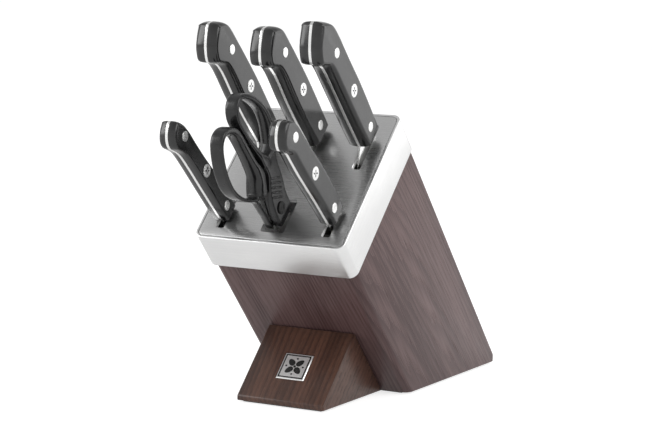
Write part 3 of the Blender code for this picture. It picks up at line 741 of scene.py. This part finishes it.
def buildBadge():
    low = -foot["badgeDeep"]
    high = low + badge["thick"]
    bevel, groove = badge["bevel"], badge["groove"]
    steps = [
        (badge["half"], low), (badge["half"], high - bevel), (badge["half"] - bevel, high),
        (badge["lineOut"], high), (badge["lineOut"], high - groove),
        (badge["lineIn"], high - groove), (badge["lineIn"], high),
    ]
    rings = [squareRing(half, out) for half, out in steps]
    plaque = addPiece("badgePlaque", loft(rings), materials["collarSteel"])
    mount(plaque, "block", "collar", "badge_plate")
    rim = badge["lineOut"] - 0.02
    inner = badge["lineIn"] + 0.02
    floor = high - groove + 0.01
    proud = high - 0.05
    line = addPiece("badgeLine", loft([
        squareRing(rim, floor), squareRing(rim, proud), squareRing(inner, proud), squareRing(inner, floor),
    ], around=True), materials["inlayEnamel"])
    mount(line, "block", "grip")
    # a plain rosette: leaves round a dot, with smaller dots between them
    quarter = 2 * math.pi / badge["leaves"]
    shapes = [leafOutline(badge["leaf"], quarter * (k + 0.5)) for k in range(badge["leaves"])]
    shapes.append(circle(badge["middleDot"], 20))
    for k in range(badge["leaves"]):
        reach = badge["outerDotsAt"]
        spot = (reach * math.cos(quarter * k), reach * math.sin(quarter * k))
        shapes.append(circle(badge["outerDot"], 14, spot))
    motif = bmesh.new()
    for shape in shapes:
        addPrism(motif, *(
            [facePoint(x, foot["badgeUp"] + y, out) for x, y in shape]
            for out in (high - 0.1, high + badge["motifProud"])
        ))
    mark = addPiece("badgeMotif", motif, materials["inlayEnamel"])
    mount(mark, "block", "grip")


buildFoot()
buildBadge()
print("foot and badge built")

# Knives

largeHandle = {
    "half": 9.5,
    "edge": 3.6,
    "belly": [(-24, 4), (-24.6, 14), (-26.2, 36), (-26.6, 58), (-26, 78), (-26.2, 88), (-28, 96.5),
              (-32.6, 102.5), (-36, 106.6), (-34.4, 111), (-30.8, 115.6), (-26, 119.6), (-21, 122.6),
              (-17, 124.2)],
    "spine": [(0, 5), (0.3, 14), (0.6, 36), (0.4, 58), (-0.6, 78), (-1.2, 88), (-1.8, 96),
              (-2.2, 100.5), (-2.5, 104.5), (-2.9, 109), (-3.9, 113.6), (-6.2, 117.8), (-10, 121.6),
              (-14.4, 124)],
    "rivets": [(-11.5, 15.5), (-13, 57.5), (-14.5, 99.5)],
}
chefHandle = {
    "half": 9.5,
    "edge": 3.6,
    "belly": [(-22.4, 4), (-22.9, 12), (-24, 36), (-24.6, 58), (-25.2, 78), (-25.6, 90), (-27.4, 98.5),
              (-32.4, 104.4), (-36.4, 109), (-35.4, 113), (-32.4, 118), (-28.4, 122.6), (-23, 127.4),
              (-17.6, 131.4)],
    "spine": [(0, 5), (0.3, 14), (0.8, 36), (0.6, 58), (-0.4, 78), (-0.8, 90), (-1, 98), (-1.2, 103),
              (-1.5, 107.5), (-2, 112.4), (-3.2, 117.8), (-6, 122.6), (-10, 127.6), (-14, 131.4)],
    "rivets": [(-11.5, 15.5), (-13, 57.5), (-14.5, 99.5)],
}
smallHandle = {
    "half": 7.3,
    "edge": 2.9,
    "belly": [(-19, 2.6), (-19.8, 12), (-21.7, 31), (-24, 50), (-26, 67), (-27.2, 83), (-28, 92),
              (-31, 98), (-34.4, 103), (-33.4, 108.4), (-30.6, 112.6), (-27, 115.6), (-23.4, 117.2),
              (-20, 117.6)],
    "spine": [(0, 4.6), (0, 12), (-0.6, 31), (-2, 50), (-4.3, 67), (-6.6, 83), (-7.8, 92), (-8.3, 97),
              (-8.8, 101), (-9.6, 105), (-10.8, 108.6), (-12.6, 112), (-14.8, 114.8), (-17.4, 116.6)],
    "rivets": [(-12.2, 15), (-15.6, 58), (-18.8, 101)],
}
paringHandle = {
    "half": 7.3,
    "edge": 2.9,
    "belly": [(-18.6, 2.6), (-20.4, 12), (-22, 31), (-23.4, 50), (-24.6, 67), (-26, 82), (-27.6, 90),
              (-30.6, 96.4), (-33, 101.4), (-32.6, 106.4), (-30, 110.8), (-26.6, 113.9), (-23, 115.7),
              (-20, 116.6)],
    "spine": [(-3, 4.6), (-3.4, 12), (-4.6, 31), (-6.6, 50), (-8.8, 67), (-10.3, 82), (-10.9, 90),
              (-11.2, 95.6), (-11.8, 100), (-12.6, 104.4), (-13.6, 108), (-15, 111.4), (-16.6, 114),
              (-18.4, 116)],
    "rivets": [(-13.2, 15), (-15.5, 58), (-19.3, 100.7)],
}
knives = {
    "chef": {
        "handle": chefHandle, "crown": 1, "serrated": False,
        "edge": [(-36.3, -8), (-36, -45), (-34.3, -90), (-30, -135), (-24, -168), (-17.6, -192)],
        "back": [(0, -8), (0, -45), (-0.6, -90), (-3, -135), (-8, -168), (-15, -192)],
    },
    "bread": {
        "handle": largeHandle, "crown": 1.04, "serrated": True,
        "edge": [(-30.4, -4), (-30.4, -50), (-30.2, -100), (-29.6, -150), (-26, -182), (-18.6, -198)],
        "back": [(0, -4), (0, -50), (-0.4, -100), (-2, -150), (-8, -182), (-16, -198)],
    },
    "carving": {
        "handle": largeHandle, "crown": 1.18, "serrated": False,
        "edge": [(-28.4, -4), (-28.4, -50), (-27.6, -100), (-24.6, -150), (-19.6, -180), (-12.6, -199)],
        "back": [(0, -4), (0, -50), (-0.4, -100), (-2, -150), (-5.6, -180), (-10, -199)],
    },
    "utility": {
        "handle": smallHandle, "crown": 1, "serrated": False,
        "edge": [(-19.6, -6), (-19.2, -40), (-17.6, -75), (-14, -105), (-8.6, -127)],
        "back": [(0, -6), (-0.2, -40), (-0.8, -75), (-3, -105), (-6.4, -127)],
    },
    "paring": {
        "handle": paringHandle, "crown": 1, "serrated": False,
        "edge": [(-19.4, -6), (-18.8, -32), (-16.4, -60), (-12.6, -82), (-7.6, -98)],
        "back": [(-3.2, -6), (-3.3, -32), (-3.8, -60), (-5, -82), (-6.6, -98)],
    },
}
knifeShape = {
    "crownStart": 104,
    "tangHalf": 1.2,
    "tangChamfer": 0.2,
    "seam": 0.05,
    "squareness": 2.8,  # of the scale's rounded section
    "topRun": 14,
    "lowRun": 8,
    "roundSteps": 9,
    "edgeBevel": 1.3,
    "bevelHalf": 0.32,
    "edgeHalf": 0.04,
    "tipHalf": 0.5,
    "scallop": 6.0,
    "scallopDeep": 0.9,
    "rivet": 4,
    "medallion": 5.2,
    "proud": 0.25,
    "boreGap": 0.06,
    "inlay": {"middle": 1.75, "reach": 1.25, "half": 0.72, "full": 1, "taper": 0, "steps": 14},
    "inlayLift": (0.1, 0.3),
}


def crowned(points, stretch):
    start = knifeShape["crownStart"]
    return [(p, q + max(0, q - start) * (stretch - 1)) for p, q in points]


def knifeOrigin(name, handle):  # where p and q are both 0
    low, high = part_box(f"{name}_knife_middle_rivet")
    p, q = handle["rivets"][1]
    return (low + high) / 2 - upPlate * p * mm - outOfSlot * q * mm


def buildKnife(name, knife):
    handle = knife["handle"]
    origin = knifeOrigin(name, handle)
    rider = f"{name}_knife"
    belly = openCurve(crowned(handle["belly"], knife["crown"]), 5)
    spine = openCurve(crowned(handle["spine"], knife["crown"]), 5)

    def at(x, p, q):
        return origin + Vector((x, 0, 0)) * mm + upPlate * p * mm + outOfSlot * q * mm

    # blade and tang in one forging
    shape = knifeShape
    half, chamfer = shape["tangHalf"], shape["tangChamfer"]
    rings = []

    def station(edgePoint, backPoint, low, lowHalf, tipHalf, backHalf, round_):
        edgePoint, backPoint = Vector(edgePoint), Vector(backPoint)
        step = (backPoint - edgePoint).normalized()
        a, b = edgePoint + step * low, backPoint - step * round_
        rings.append([
            at(-lowHalf, *a), at(-tipHalf, *edgePoint), at(tipHalf, *edgePoint), at(lowHalf, *a),
            at(backHalf, *b), at(backHalf - round_, *backPoint),
            at(round_ - backHalf, *backPoint), at(-backHalf, *b),
        ])

    for bellyPoint, spinePoint in zip(belly[::-1], spine[::-1]):
        station(bellyPoint, spinePoint, chamfer, half, half - chamfer, half, chamfer)
    perSpan = 40 if knife["serrated"] else 10
    edge = openCurve(knife["edge"], perSpan)
    back = openCurve(knife["back"], perSpan)
    for k, (edgePoint, backPoint) in enumerate(zip(edge, back)):
        share = k / (len(edge) - 1)
        backHalf = half + (shape["tipHalf"] - half) * share ** 2
        width = (Vector(backPoint) - Vector(edgePoint)).length
        if knife["serrated"] and 0.05 < share < 0.97:
            tooth = abs(math.sin(math.pi * edgePoint[1] / shape["scallop"]))
            edgePoint = (edgePoint[0] + shape["scallopDeep"] * (1 - tooth), edgePoint[1])
        bevel = min(shape["edgeBevel"], 0.3 * width)
        bevelHalf = min(shape["bevelHalf"], backHalf * 0.6)
        backChamfer = min(chamfer, 0.3 * backHalf)
        station(edgePoint, backPoint, bevel, bevelHalf, shape["edgeHalf"], backHalf, backChamfer)
    blade = addPiece(f"{name}Blade", loft(rings), materials["bladeSteel"], 28)

    # the two scales, each rounded over from the tang to its flat side
    highest = max(q for p, q in belly + spine)
    lowest = min(q for p, q in belly + spine)

    def settled(point, inset):
        q = point[1]
        fromTop = min(1, max(0, 1 - (highest - q) / shape["topRun"]))
        fromLow = min(1, max(0, 1 - (q - lowest) / shape["lowRun"]))
        return point[0], q - inset * fromTop ** 2 * (3 - 2 * fromTop) + 0.4 * inset * fromLow

    def insetOutline(inset):  # moves both edges inwards along the lines that join them
        bellySide, spineSide = [], []
        for a, b in zip(belly, spine):
            a, b = Vector(a), Vector(b)
            step = (b - a) / (b - a).length * min(inset, 0.38 * (b - a).length)
            bellySide.append(settled(a + step, inset))
            spineSide.append(settled(b - step, inset))
        return bellySide + spineSide[::-1]

    scales = []
    for side, hand in (("Left", -1), ("Right", 1)):
        power = 2 / shape["squareness"]
        inner = half + shape["seam"]
        first = math.asin((inner / handle["half"]) ** (1 / power))
        rings = []
        for k in range(shape["roundSteps"] + 1):
            angle = first + (math.pi / 2 - first) * (k / shape["roundSteps"]) ** 0.8
            x = hand * handle["half"] * math.sin(angle) ** power
            inset = handle["edge"] * (1 - max(0, math.cos(angle)) ** power)
            rings.append([at(x, p, q) for p, q in insetOutline(inset)])
        rings.append([at(hand * handle["half"], p, q) for p, q in insetOutline(handle["edge"] + 0.25)])
        scales.append(addPiece(f"{name}{side}Scale", loft(rings), materials["scalePlastic"], 40))

    # pins through all three
    holes = []
    for spot, (p, q) in zip(("front", "middle", "rear"), handle["rivets"]):
        middle = spot == "middle"
        radius = shape["medallion"] if middle else shape["rivet"]
        centre = at(0, p, q)
        reach = handle["half"] + shape["proud"]
        dome = [(0.0, radius), (0.12, radius), (0.2, radius - 0.1), (0.25, radius - 0.35)]
        if middle:
            dome += [(0.25, radius - 0.9), (0.1, radius - 1.0), (0.1, radius - 1.25), (0.23, radius - 1.35)]
        dome += [(0.27, radius * 0.45), (0.28, 0.25)]
        profile = [(-handle["half"] - lift, r) for lift, r in dome[::-1]]
        profile += [(handle["half"] + lift, r) for lift, r in dome]
        turned = turnedAlongX(profile, centre)
        pin = addPiece(f"{name}{spot.capitalize()}Pin", turned, materials["rivetSteel"], 30)
        mount(pin, rider, "rivet", f"{name}_knife_{spot}_rivet")
        bore = [(x, radius + shape["boreGap"]) for x in (-reach - 3, reach + 3)]
        holes.append(addPiece(f"bore{name}{spot}", turnedAlongX(bore, centre)))
    for piece in (blade, *scales):
        combine(piece, holes, "DIFFERENCE", 28 if piece is blade else 40, keep=True)
    for hole in holes:
        bpy.data.objects.remove(hole)
    mount(blade, rider, "steel", f"{name}_knife_blade")
    mount(scales[0], rider, "scale", f"{name}_knife_left_scale")
    mount(scales[1], rider, "scale", f"{name}_knife_right_scale")

    # a plain four-leaf inlay in the middle pins
    leaves = bmesh.new()
    p0, q0 = handle["rivets"][1]
    for hand in (-1, 1):
        for turn in (math.radians(45 + 90 * k) for k in range(4)):
            outline = [(p0 + p, q0 + q) for p, q in leafOutline(shape["inlay"], turn)]
            addPrism(leaves, *(
                [at(hand * (handle["half"] + lift), p, q) for p, q in outline]
                for lift in shape["inlayLift"]
            ))
    inlay = addPiece(f"{name}Inlay", leaves, materials["inlayEnamel"])
    mount(inlay, rider, "scale")


for knifeName, knifeFacts in knives.items():
    buildKnife(knifeName, knifeFacts)
    print(knifeName, "knife built")

# Scissors, (p, q) in millimetres from the pivot

scissors = {
    "steelThick": 2.2,
    "gap": 0.3,
    "gripHalf": 5.5,
    "shankOuter": 6.5,
    "pivot": 3,
    "pivotHead": 5,
    "pivotHeadThick": 1.0,
    "voxel": 0.55,
    "softening": 5,
    "outerSquareness": 4.6,  # of the rings' section, towards the rim and the hole
    "holeSquareness": 2.2,
    "waistSwell": 1.3,
    "shankRound": [(1.6, 0), (0.9, 0.25), (0.3, 0.8), (0, 1.6)],  # below the outer face, and inwards
    "steelEdge": 0.25,
    "holeGap": 0.1,
    "boreReach": 20,
}
rearHalf = {
    "hand": 1,
    "ring": [(6, 34), (4.2, 52), (1.6, 74), (0.4, 90), (1.6, 98), (6, 104.4), (13, 107), (20, 104.6),
             (28, 96), (34, 84), (37.6, 70), (37, 56), (32.6, 44), (24, 34)],
    "hole": [(16, 42), (9.8, 58), (6.2, 74), (4.6, 88), (6.4, 97), (11, 102), (17, 101.4), (24, 93),
             (30, 80), (32, 68), (30, 56), (24, 45)],
    "shank": [(-7, -14), (-9, 0), (-5, 18), (4, 30), (7, 42), (24, 42), (21, 30), (18.6, 16), (14.6, 2),
              (12, -14)],
    "steel": [(9, 38), (18.6, 38), (16.6, 16), (13, 2), (11.6, -18), (8, -60), (-1.4, -97), (-3.4, -97),
              (-2.6, -60), (-7, -18), (-8, 0), (-2, 18)],
}
frontHalf = {
    "hand": -1,
    "ring": [(-6, 22), (-18, 28), (-28, 38), (-35.6, 50), (-39.4, 62), (-39, 74), (-36, 85), (-31, 95),
             (-25.6, 101.6), (-19, 104), (-11, 101.6), (-4, 94), (-1.2, 84), (-0.4, 70), (0.2, 54), (2, 36)],
    "hole": [(-16, 31), (-25, 39), (-31.4, 50), (-34.8, 62), (-34, 76), (-30.4, 88), (-25.6, 96),
             (-19, 98.6), (-12, 95), (-7.6, 86), (-6.8, 72), (-6.8, 54), (-8.6, 40)],
    "shank": [(-10.4, -14), (-12.6, 2), (-14.4, 20), (-16, 30), (-2, 44), (1.6, 30), (6, 16), (8, 4),
              (6, -14)],
    "steel": [(-3, 40), (-11, 30), (-12, 16), (-11, 0), (-9.6, -18), (-7, -60), (-1.6, -97), (0.6, -97),
              (4, -60), (7.6, -18), (7, 0), (2, 18)],
}
ribs = {"count": 5, "pitch": 3.7, "half": 7.4, "radius": 1.3, "p": 1.5, "q": 10.5}
screwLow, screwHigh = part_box("scissors_pivot_screw")
pivot = (screwLow + screwHigh) / 2
pivot.x = 0


def pivotPoint(x, p, q):
    return pivot + Vector((x, 0, 0)) * mm + upPlate * p * mm + outOfSlot * q * mm


def rayHit(loop, centre, angle):  # farthest crossing of a ray with a closed outline
    best = 0
    direction = Vector((math.cos(angle), math.sin(angle)))
    for a, b in zip(loop, loop[1:] + loop[:1]):
        a, b = Vector(a) - centre, Vector(b) - centre
        side = b - a
        cross = direction.x * side.y - direction.y * side.x
        if abs(cross) < 1e-12:
            continue
        reach = (a.x * side.y - a.y * side.x) / cross
        along = (a.x * direction.y - a.y * direction.x) / cross
        if -1e-9 <= along <= 1 + 1e-9 and reach > best:
            best = reach
    return centre + direction * best


def ringBody(facts, stations=96, around=28):
    outer = closedCurve(facts["ring"], 6)
    inner = closedCurve(facts["hole"], 6)
    centre = sum((Vector(point) for point in inner), Vector((0, 0))) / len(inner)
    rings = []
    for k in range(stations):
        angle = 2 * math.pi * k / stations
        a, b = rayHit(outer, centre, angle), rayHit(inner, centre, angle)
        middle, reach = (a + b) / 2, (a - b) / 2
        half = scissors["gripHalf"] + scissors["waistSwell"] * min(1, max(0, reach.length - 3) / 4)
        ring = []
        for t in (2 * math.pi * s / around for s in range(around)):
            power = 2 / scissors["outerSquareness" if math.cos(t) > 0 else "holeSquareness"]
            across = math.copysign(abs(math.cos(t)) ** power, math.cos(t))
            aside = math.copysign(abs(math.sin(t)) ** power, math.sin(t))
            point = middle + reach * across
            ring.append(pivotPoint(half * aside, *point))
        rings.append(ring)
    return loft(rings, around=True)


def joinInto(bm, other):
    mesh = bpy.data.meshes.new("part")
    bmesh.ops.recalc_face_normals(other, faces=other.faces[:])
    other.to_mesh(mesh)
    other.free()
    bm.from_mesh(mesh)
    bpy.data.meshes.remove(mesh)


def addRibs(grip):  # level thumb ribs on the shank's outer face
    bars = []
    for k in range(ribs["count"]):
        centre = pivotPoint(scissors["shankOuter"] - 0.35, ribs["p"], ribs["q"])
        centre += Vector((0, -0.25, 1)) * ribs["pitch"] * k * mm
        rings = []
        for y in (-1, -0.94, 0.94, 1):
            radius = ribs["radius"] * (1 if abs(y) < 1 else 0.4)
            rings.append([
                centre + Vector((radius * math.cos(a), y * ribs["half"], 0.75 * radius * math.sin(a))) * mm
                for a in (2 * math.pi * s / 16 for s in range(16))
            ])
        bars.append(addPiece(f"bar{k}", loft(rings)))
    combine(grip, bars, "UNION", 60)


def buildScissorsHalf(side, facts, rider):
    hand = facts["hand"]
    gap, thick = scissors["gap"], scissors["steelThick"]
    near, far = gap / 2, gap / 2 + thick
    steelLoop = closedCurve(facts["steel"], 4)

    bm = ringBody(facts)
    shank = closedCurve(facts["shank"], 4)
    low, high = near, scissors["shankOuter"]
    rings = []
    for x, inset in [(low, 0), *((high - below, inset) for below, inset in scissors["shankRound"])]:
        rings.append([pivotPoint(hand * x, *point) for point in insetLoop(shank, inset)])
    joinInto(bm, loft(rings))
    grip = addPiece(f"scissors{side}Grip", bm, materials["gripPlastic"], 60)
    modifier = grip.modifiers.new("skin", "REMESH")
    modifier.mode = "VOXEL"
    modifier.voxel_size = scissors["voxel"] * mm
    modifier = grip.modifiers.new("soften", "SMOOTH")
    modifier.factor = 0.5
    modifier.iterations = scissors["softening"]
    applyModifiers(grip, 60)
    if hand > 0:
        addRibs(grip)
    grown = insetLoop(steelLoop, -gap)
    rings = [[pivotPoint(hand * x, *point) for point in grown] for x in (near - gap, far + gap)]
    pocket = addPiece(f"pocket{side}", loft(rings))
    reach = scissors["boreReach"]
    bore = turnedAlongX([(x, scissors["pivot"] + gap) for x in (-reach, reach)], pivot)
    combine(grip, [pocket, addPiece(f"bore{side}", bore)], "DIFFERENCE", 60)
    mount(grip, rider, "grip", f"scissors_{side.lower()}_grip")

    rings = []
    edge = scissors["steelEdge"]
    for x, inset in [(near, 0), (far - edge, 0), (far, edge)]:
        rings.append([pivotPoint(hand * x, *point) for point in insetLoop(steelLoop, inset)])
    steel = addPiece(f"scissors{side}Blade", loft(rings), materials["bladeSteel"], 30)
    bore = turnedAlongX([(x, scissors["pivot"] + scissors["holeGap"]) for x in (-reach, reach)], pivot)
    combine(steel, [addPiece(f"hole{side}", bore)], "DIFFERENCE", 30)
    mount(steel, rider, "steel", f"scissors_{side.lower()}_blade")


def buildPivot():
    head = scissors["shankOuter"] + scissors["gap"]
    radius, headRadius, thick = scissors["pivot"], scissors["pivotHead"], scissors["pivotHeadThick"]
    profile = [
        (-head, 0.2), (-head, radius), (head, radius), (head, headRadius - 0.1),
        (head + 0.15, headRadius), (head + thick - 0.5, headRadius),
        (head + thick - 0.1, headRadius - 0.4), (head + thick, headRadius - 1.2),
        (head + thick, headRadius * 0.5), (head + thick - 0.4, headRadius * 0.42), (head + thick - 0.4, 0.2),
    ]
    screw = addPiece("scissorsPivotScrew", turnedAlongX(profile, pivot), materials["pivotSteel"], 30)
    mount(screw, "scissors_rear_half", "rivet", "scissors_pivot_screw")
    start = -head - scissors["gap"]
    profile = [
        (start, 0.2), (start, headRadius - 0.1),
        (start - 0.15, headRadius), (start - thick + 0.5, headRadius),
        (start - thick + 0.1, headRadius - 0.4), (start - thick, headRadius - 1.2), (start - thick, 0.2),
    ]
    nut = addPiece("scissorsPivotNut", turnedAlongX(profile, pivot), materials["pivotSteel"], 30)
    mount(nut, "scissors_rear_half", "rivet", "scissors_pivot_nut")


buildScissorsHalf("Rear", rearHalf, "scissors_rear_half")
buildScissorsHalf("Front", frontHalf, "scissors_front_half")
buildPivot()
print("scissors built")

# CAD nodes that keep their shape

kept = {"honing_carrier": "carrierPlastic", "_rod": "ceramic", "_sole": "rubber"}
for nodeName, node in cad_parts.items():
    for ending, material in kept.items():
        if nodeName.endswith(ending):
            node.data.materials.clear()
            node.data.materials.append(materials[material])

# Floor, light and camera

stage = {
    "floorRadius": 14,
    "floorTone": 0.55,
    "floorGlow": 0.74,
    "floorMirrored": 0.42,
    "lightAbove": 0.62,
    "lightAround": 1.0,
    "worldStrength": 0.9,
    "lightAim": (0, -0.1, 0.15),
    "softboxes": {  # place, size and power
        "softboxRight": ((1.5, -0.3, 1.3), (1.4, 1.4), 14),
        "softboxLeft": ((-1.4, -1.2, 0.8), (1.0, 1.2), 14),
        "softboxBack": ((1.1, 1.9, 0.35), (1.2, 1.0), 2.5),
    },
}
cameraFacts = {
    "lens": 110.70,
    "sensor": 36,
    "place": (0.72646, -1.55429, 0.31547),
    "yaw": 0.47078,
    "pitch": -0.10689,
    "roll": 0.03082,
}


def buildFloor():
    bm = bmesh.new()
    bmesh.ops.create_circle(bm, cap_ends=True, segments=96, radius=stage["floorRadius"])
    floor = addPiece("studioFloor", bm)
    floor.location.z = -0.0002
    material = bpy.data.materials.new("paleFloor")
    material.use_nodes = True
    tree = material.node_tree
    shader = tree.nodes["Principled BSDF"]
    shader.inputs["Specular IOR Level"].default_value = 0.2
    place = addNode(tree, "ShaderNodeTexCoord")
    cloud = noiseOf(tree, place.outputs["Object"], 3, 2)
    tones = [grey(share * stage["floorTone"]) for share in (1, 0.985)]
    tree.links.new(mixed(tree, cloud, *tones), shader.inputs["Base Color"])
    tree.links.new(ranged(tree, cloud, 0, 1, 0.6, 0.7), shader.inputs["Roughness"])
    sight = addNode(tree, "ShaderNodeLightPath")
    direct = calculate(tree, "MULTIPLY", sight.outputs["Is Camera Ray"], stage["floorGlow"])
    mirrored = calculate(tree, "MULTIPLY", sight.outputs["Is Glossy Ray"], stage["floorMirrored"])
    shader.inputs["Emission Color"].default_value = (1, 1, 1, 1)
    tree.links.new(calculate(tree, "MAXIMUM", direct, mirrored), shader.inputs["Emission Strength"])
    floor.data.materials.append(material)


def buildWorld():
    world = bpy.data.worlds.new("studio")
    bpy.context.scene.world = world
    world.use_nodes = True
    tree = world.node_tree
    back = tree.nodes["Background"]
    place = addNode(tree, "ShaderNodeTexCoord")
    split = addNode(tree, "ShaderNodeSeparateXYZ")
    tree.links.new(place.outputs["Generated"], split.inputs["Vector"])
    around, above = stage["lightAround"], stage["lightAbove"]
    tone = ranged(tree, split.outputs["Z"], 0.15, 0.9, around, above)
    seen = addNode(tree, "ShaderNodeLightPath")
    choice = mixed(tree, seen.outputs["Is Camera Ray"], tone, grey(1.14))
    tree.links.new(choice, back.inputs["Color"])
    back.inputs["Strength"].default_value = stage["worldStrength"]


def addSoftbox(name, place, size, power):
    data = bpy.data.lights.new(name, "AREA")
    data.shape = "RECTANGLE"
    data.size, data.size_y = size
    data.energy = power
    light = bpy.data.objects.new(name, data)
    bpy.context.scene.collection.objects.link(light)
    light.location = place
    light.rotation_euler = (Vector(stage["lightAim"]) - Vector(place)).to_track_quat("-Z", "Y").to_euler()


def addCamera():
    facts = cameraFacts
    data = bpy.data.cameras.new("camera")
    data.lens = facts["lens"]
    data.sensor_width = facts["sensor"]
    camera = bpy.data.objects.new("camera", data)
    bpy.context.scene.collection.objects.link(camera)
    turn = Matrix.Rotation(facts["yaw"], 4, "Z") @ Matrix.Rotation(math.pi / 2 + facts["pitch"], 4, "X")
    camera.matrix_world = Matrix.Translation(facts["place"]) @ turn @ Matrix.Rotation(facts["roll"], 4, "Z")
    bpy.context.scene.camera = camera


buildFloor()
buildWorld()
for softboxName, softboxFacts in stage["softboxes"].items():
    addSoftbox(softboxName, *softboxFacts)
addCamera()
bpy.context.scene.view_settings.view_transform = "Standard"
print("stage, lights and camera set")
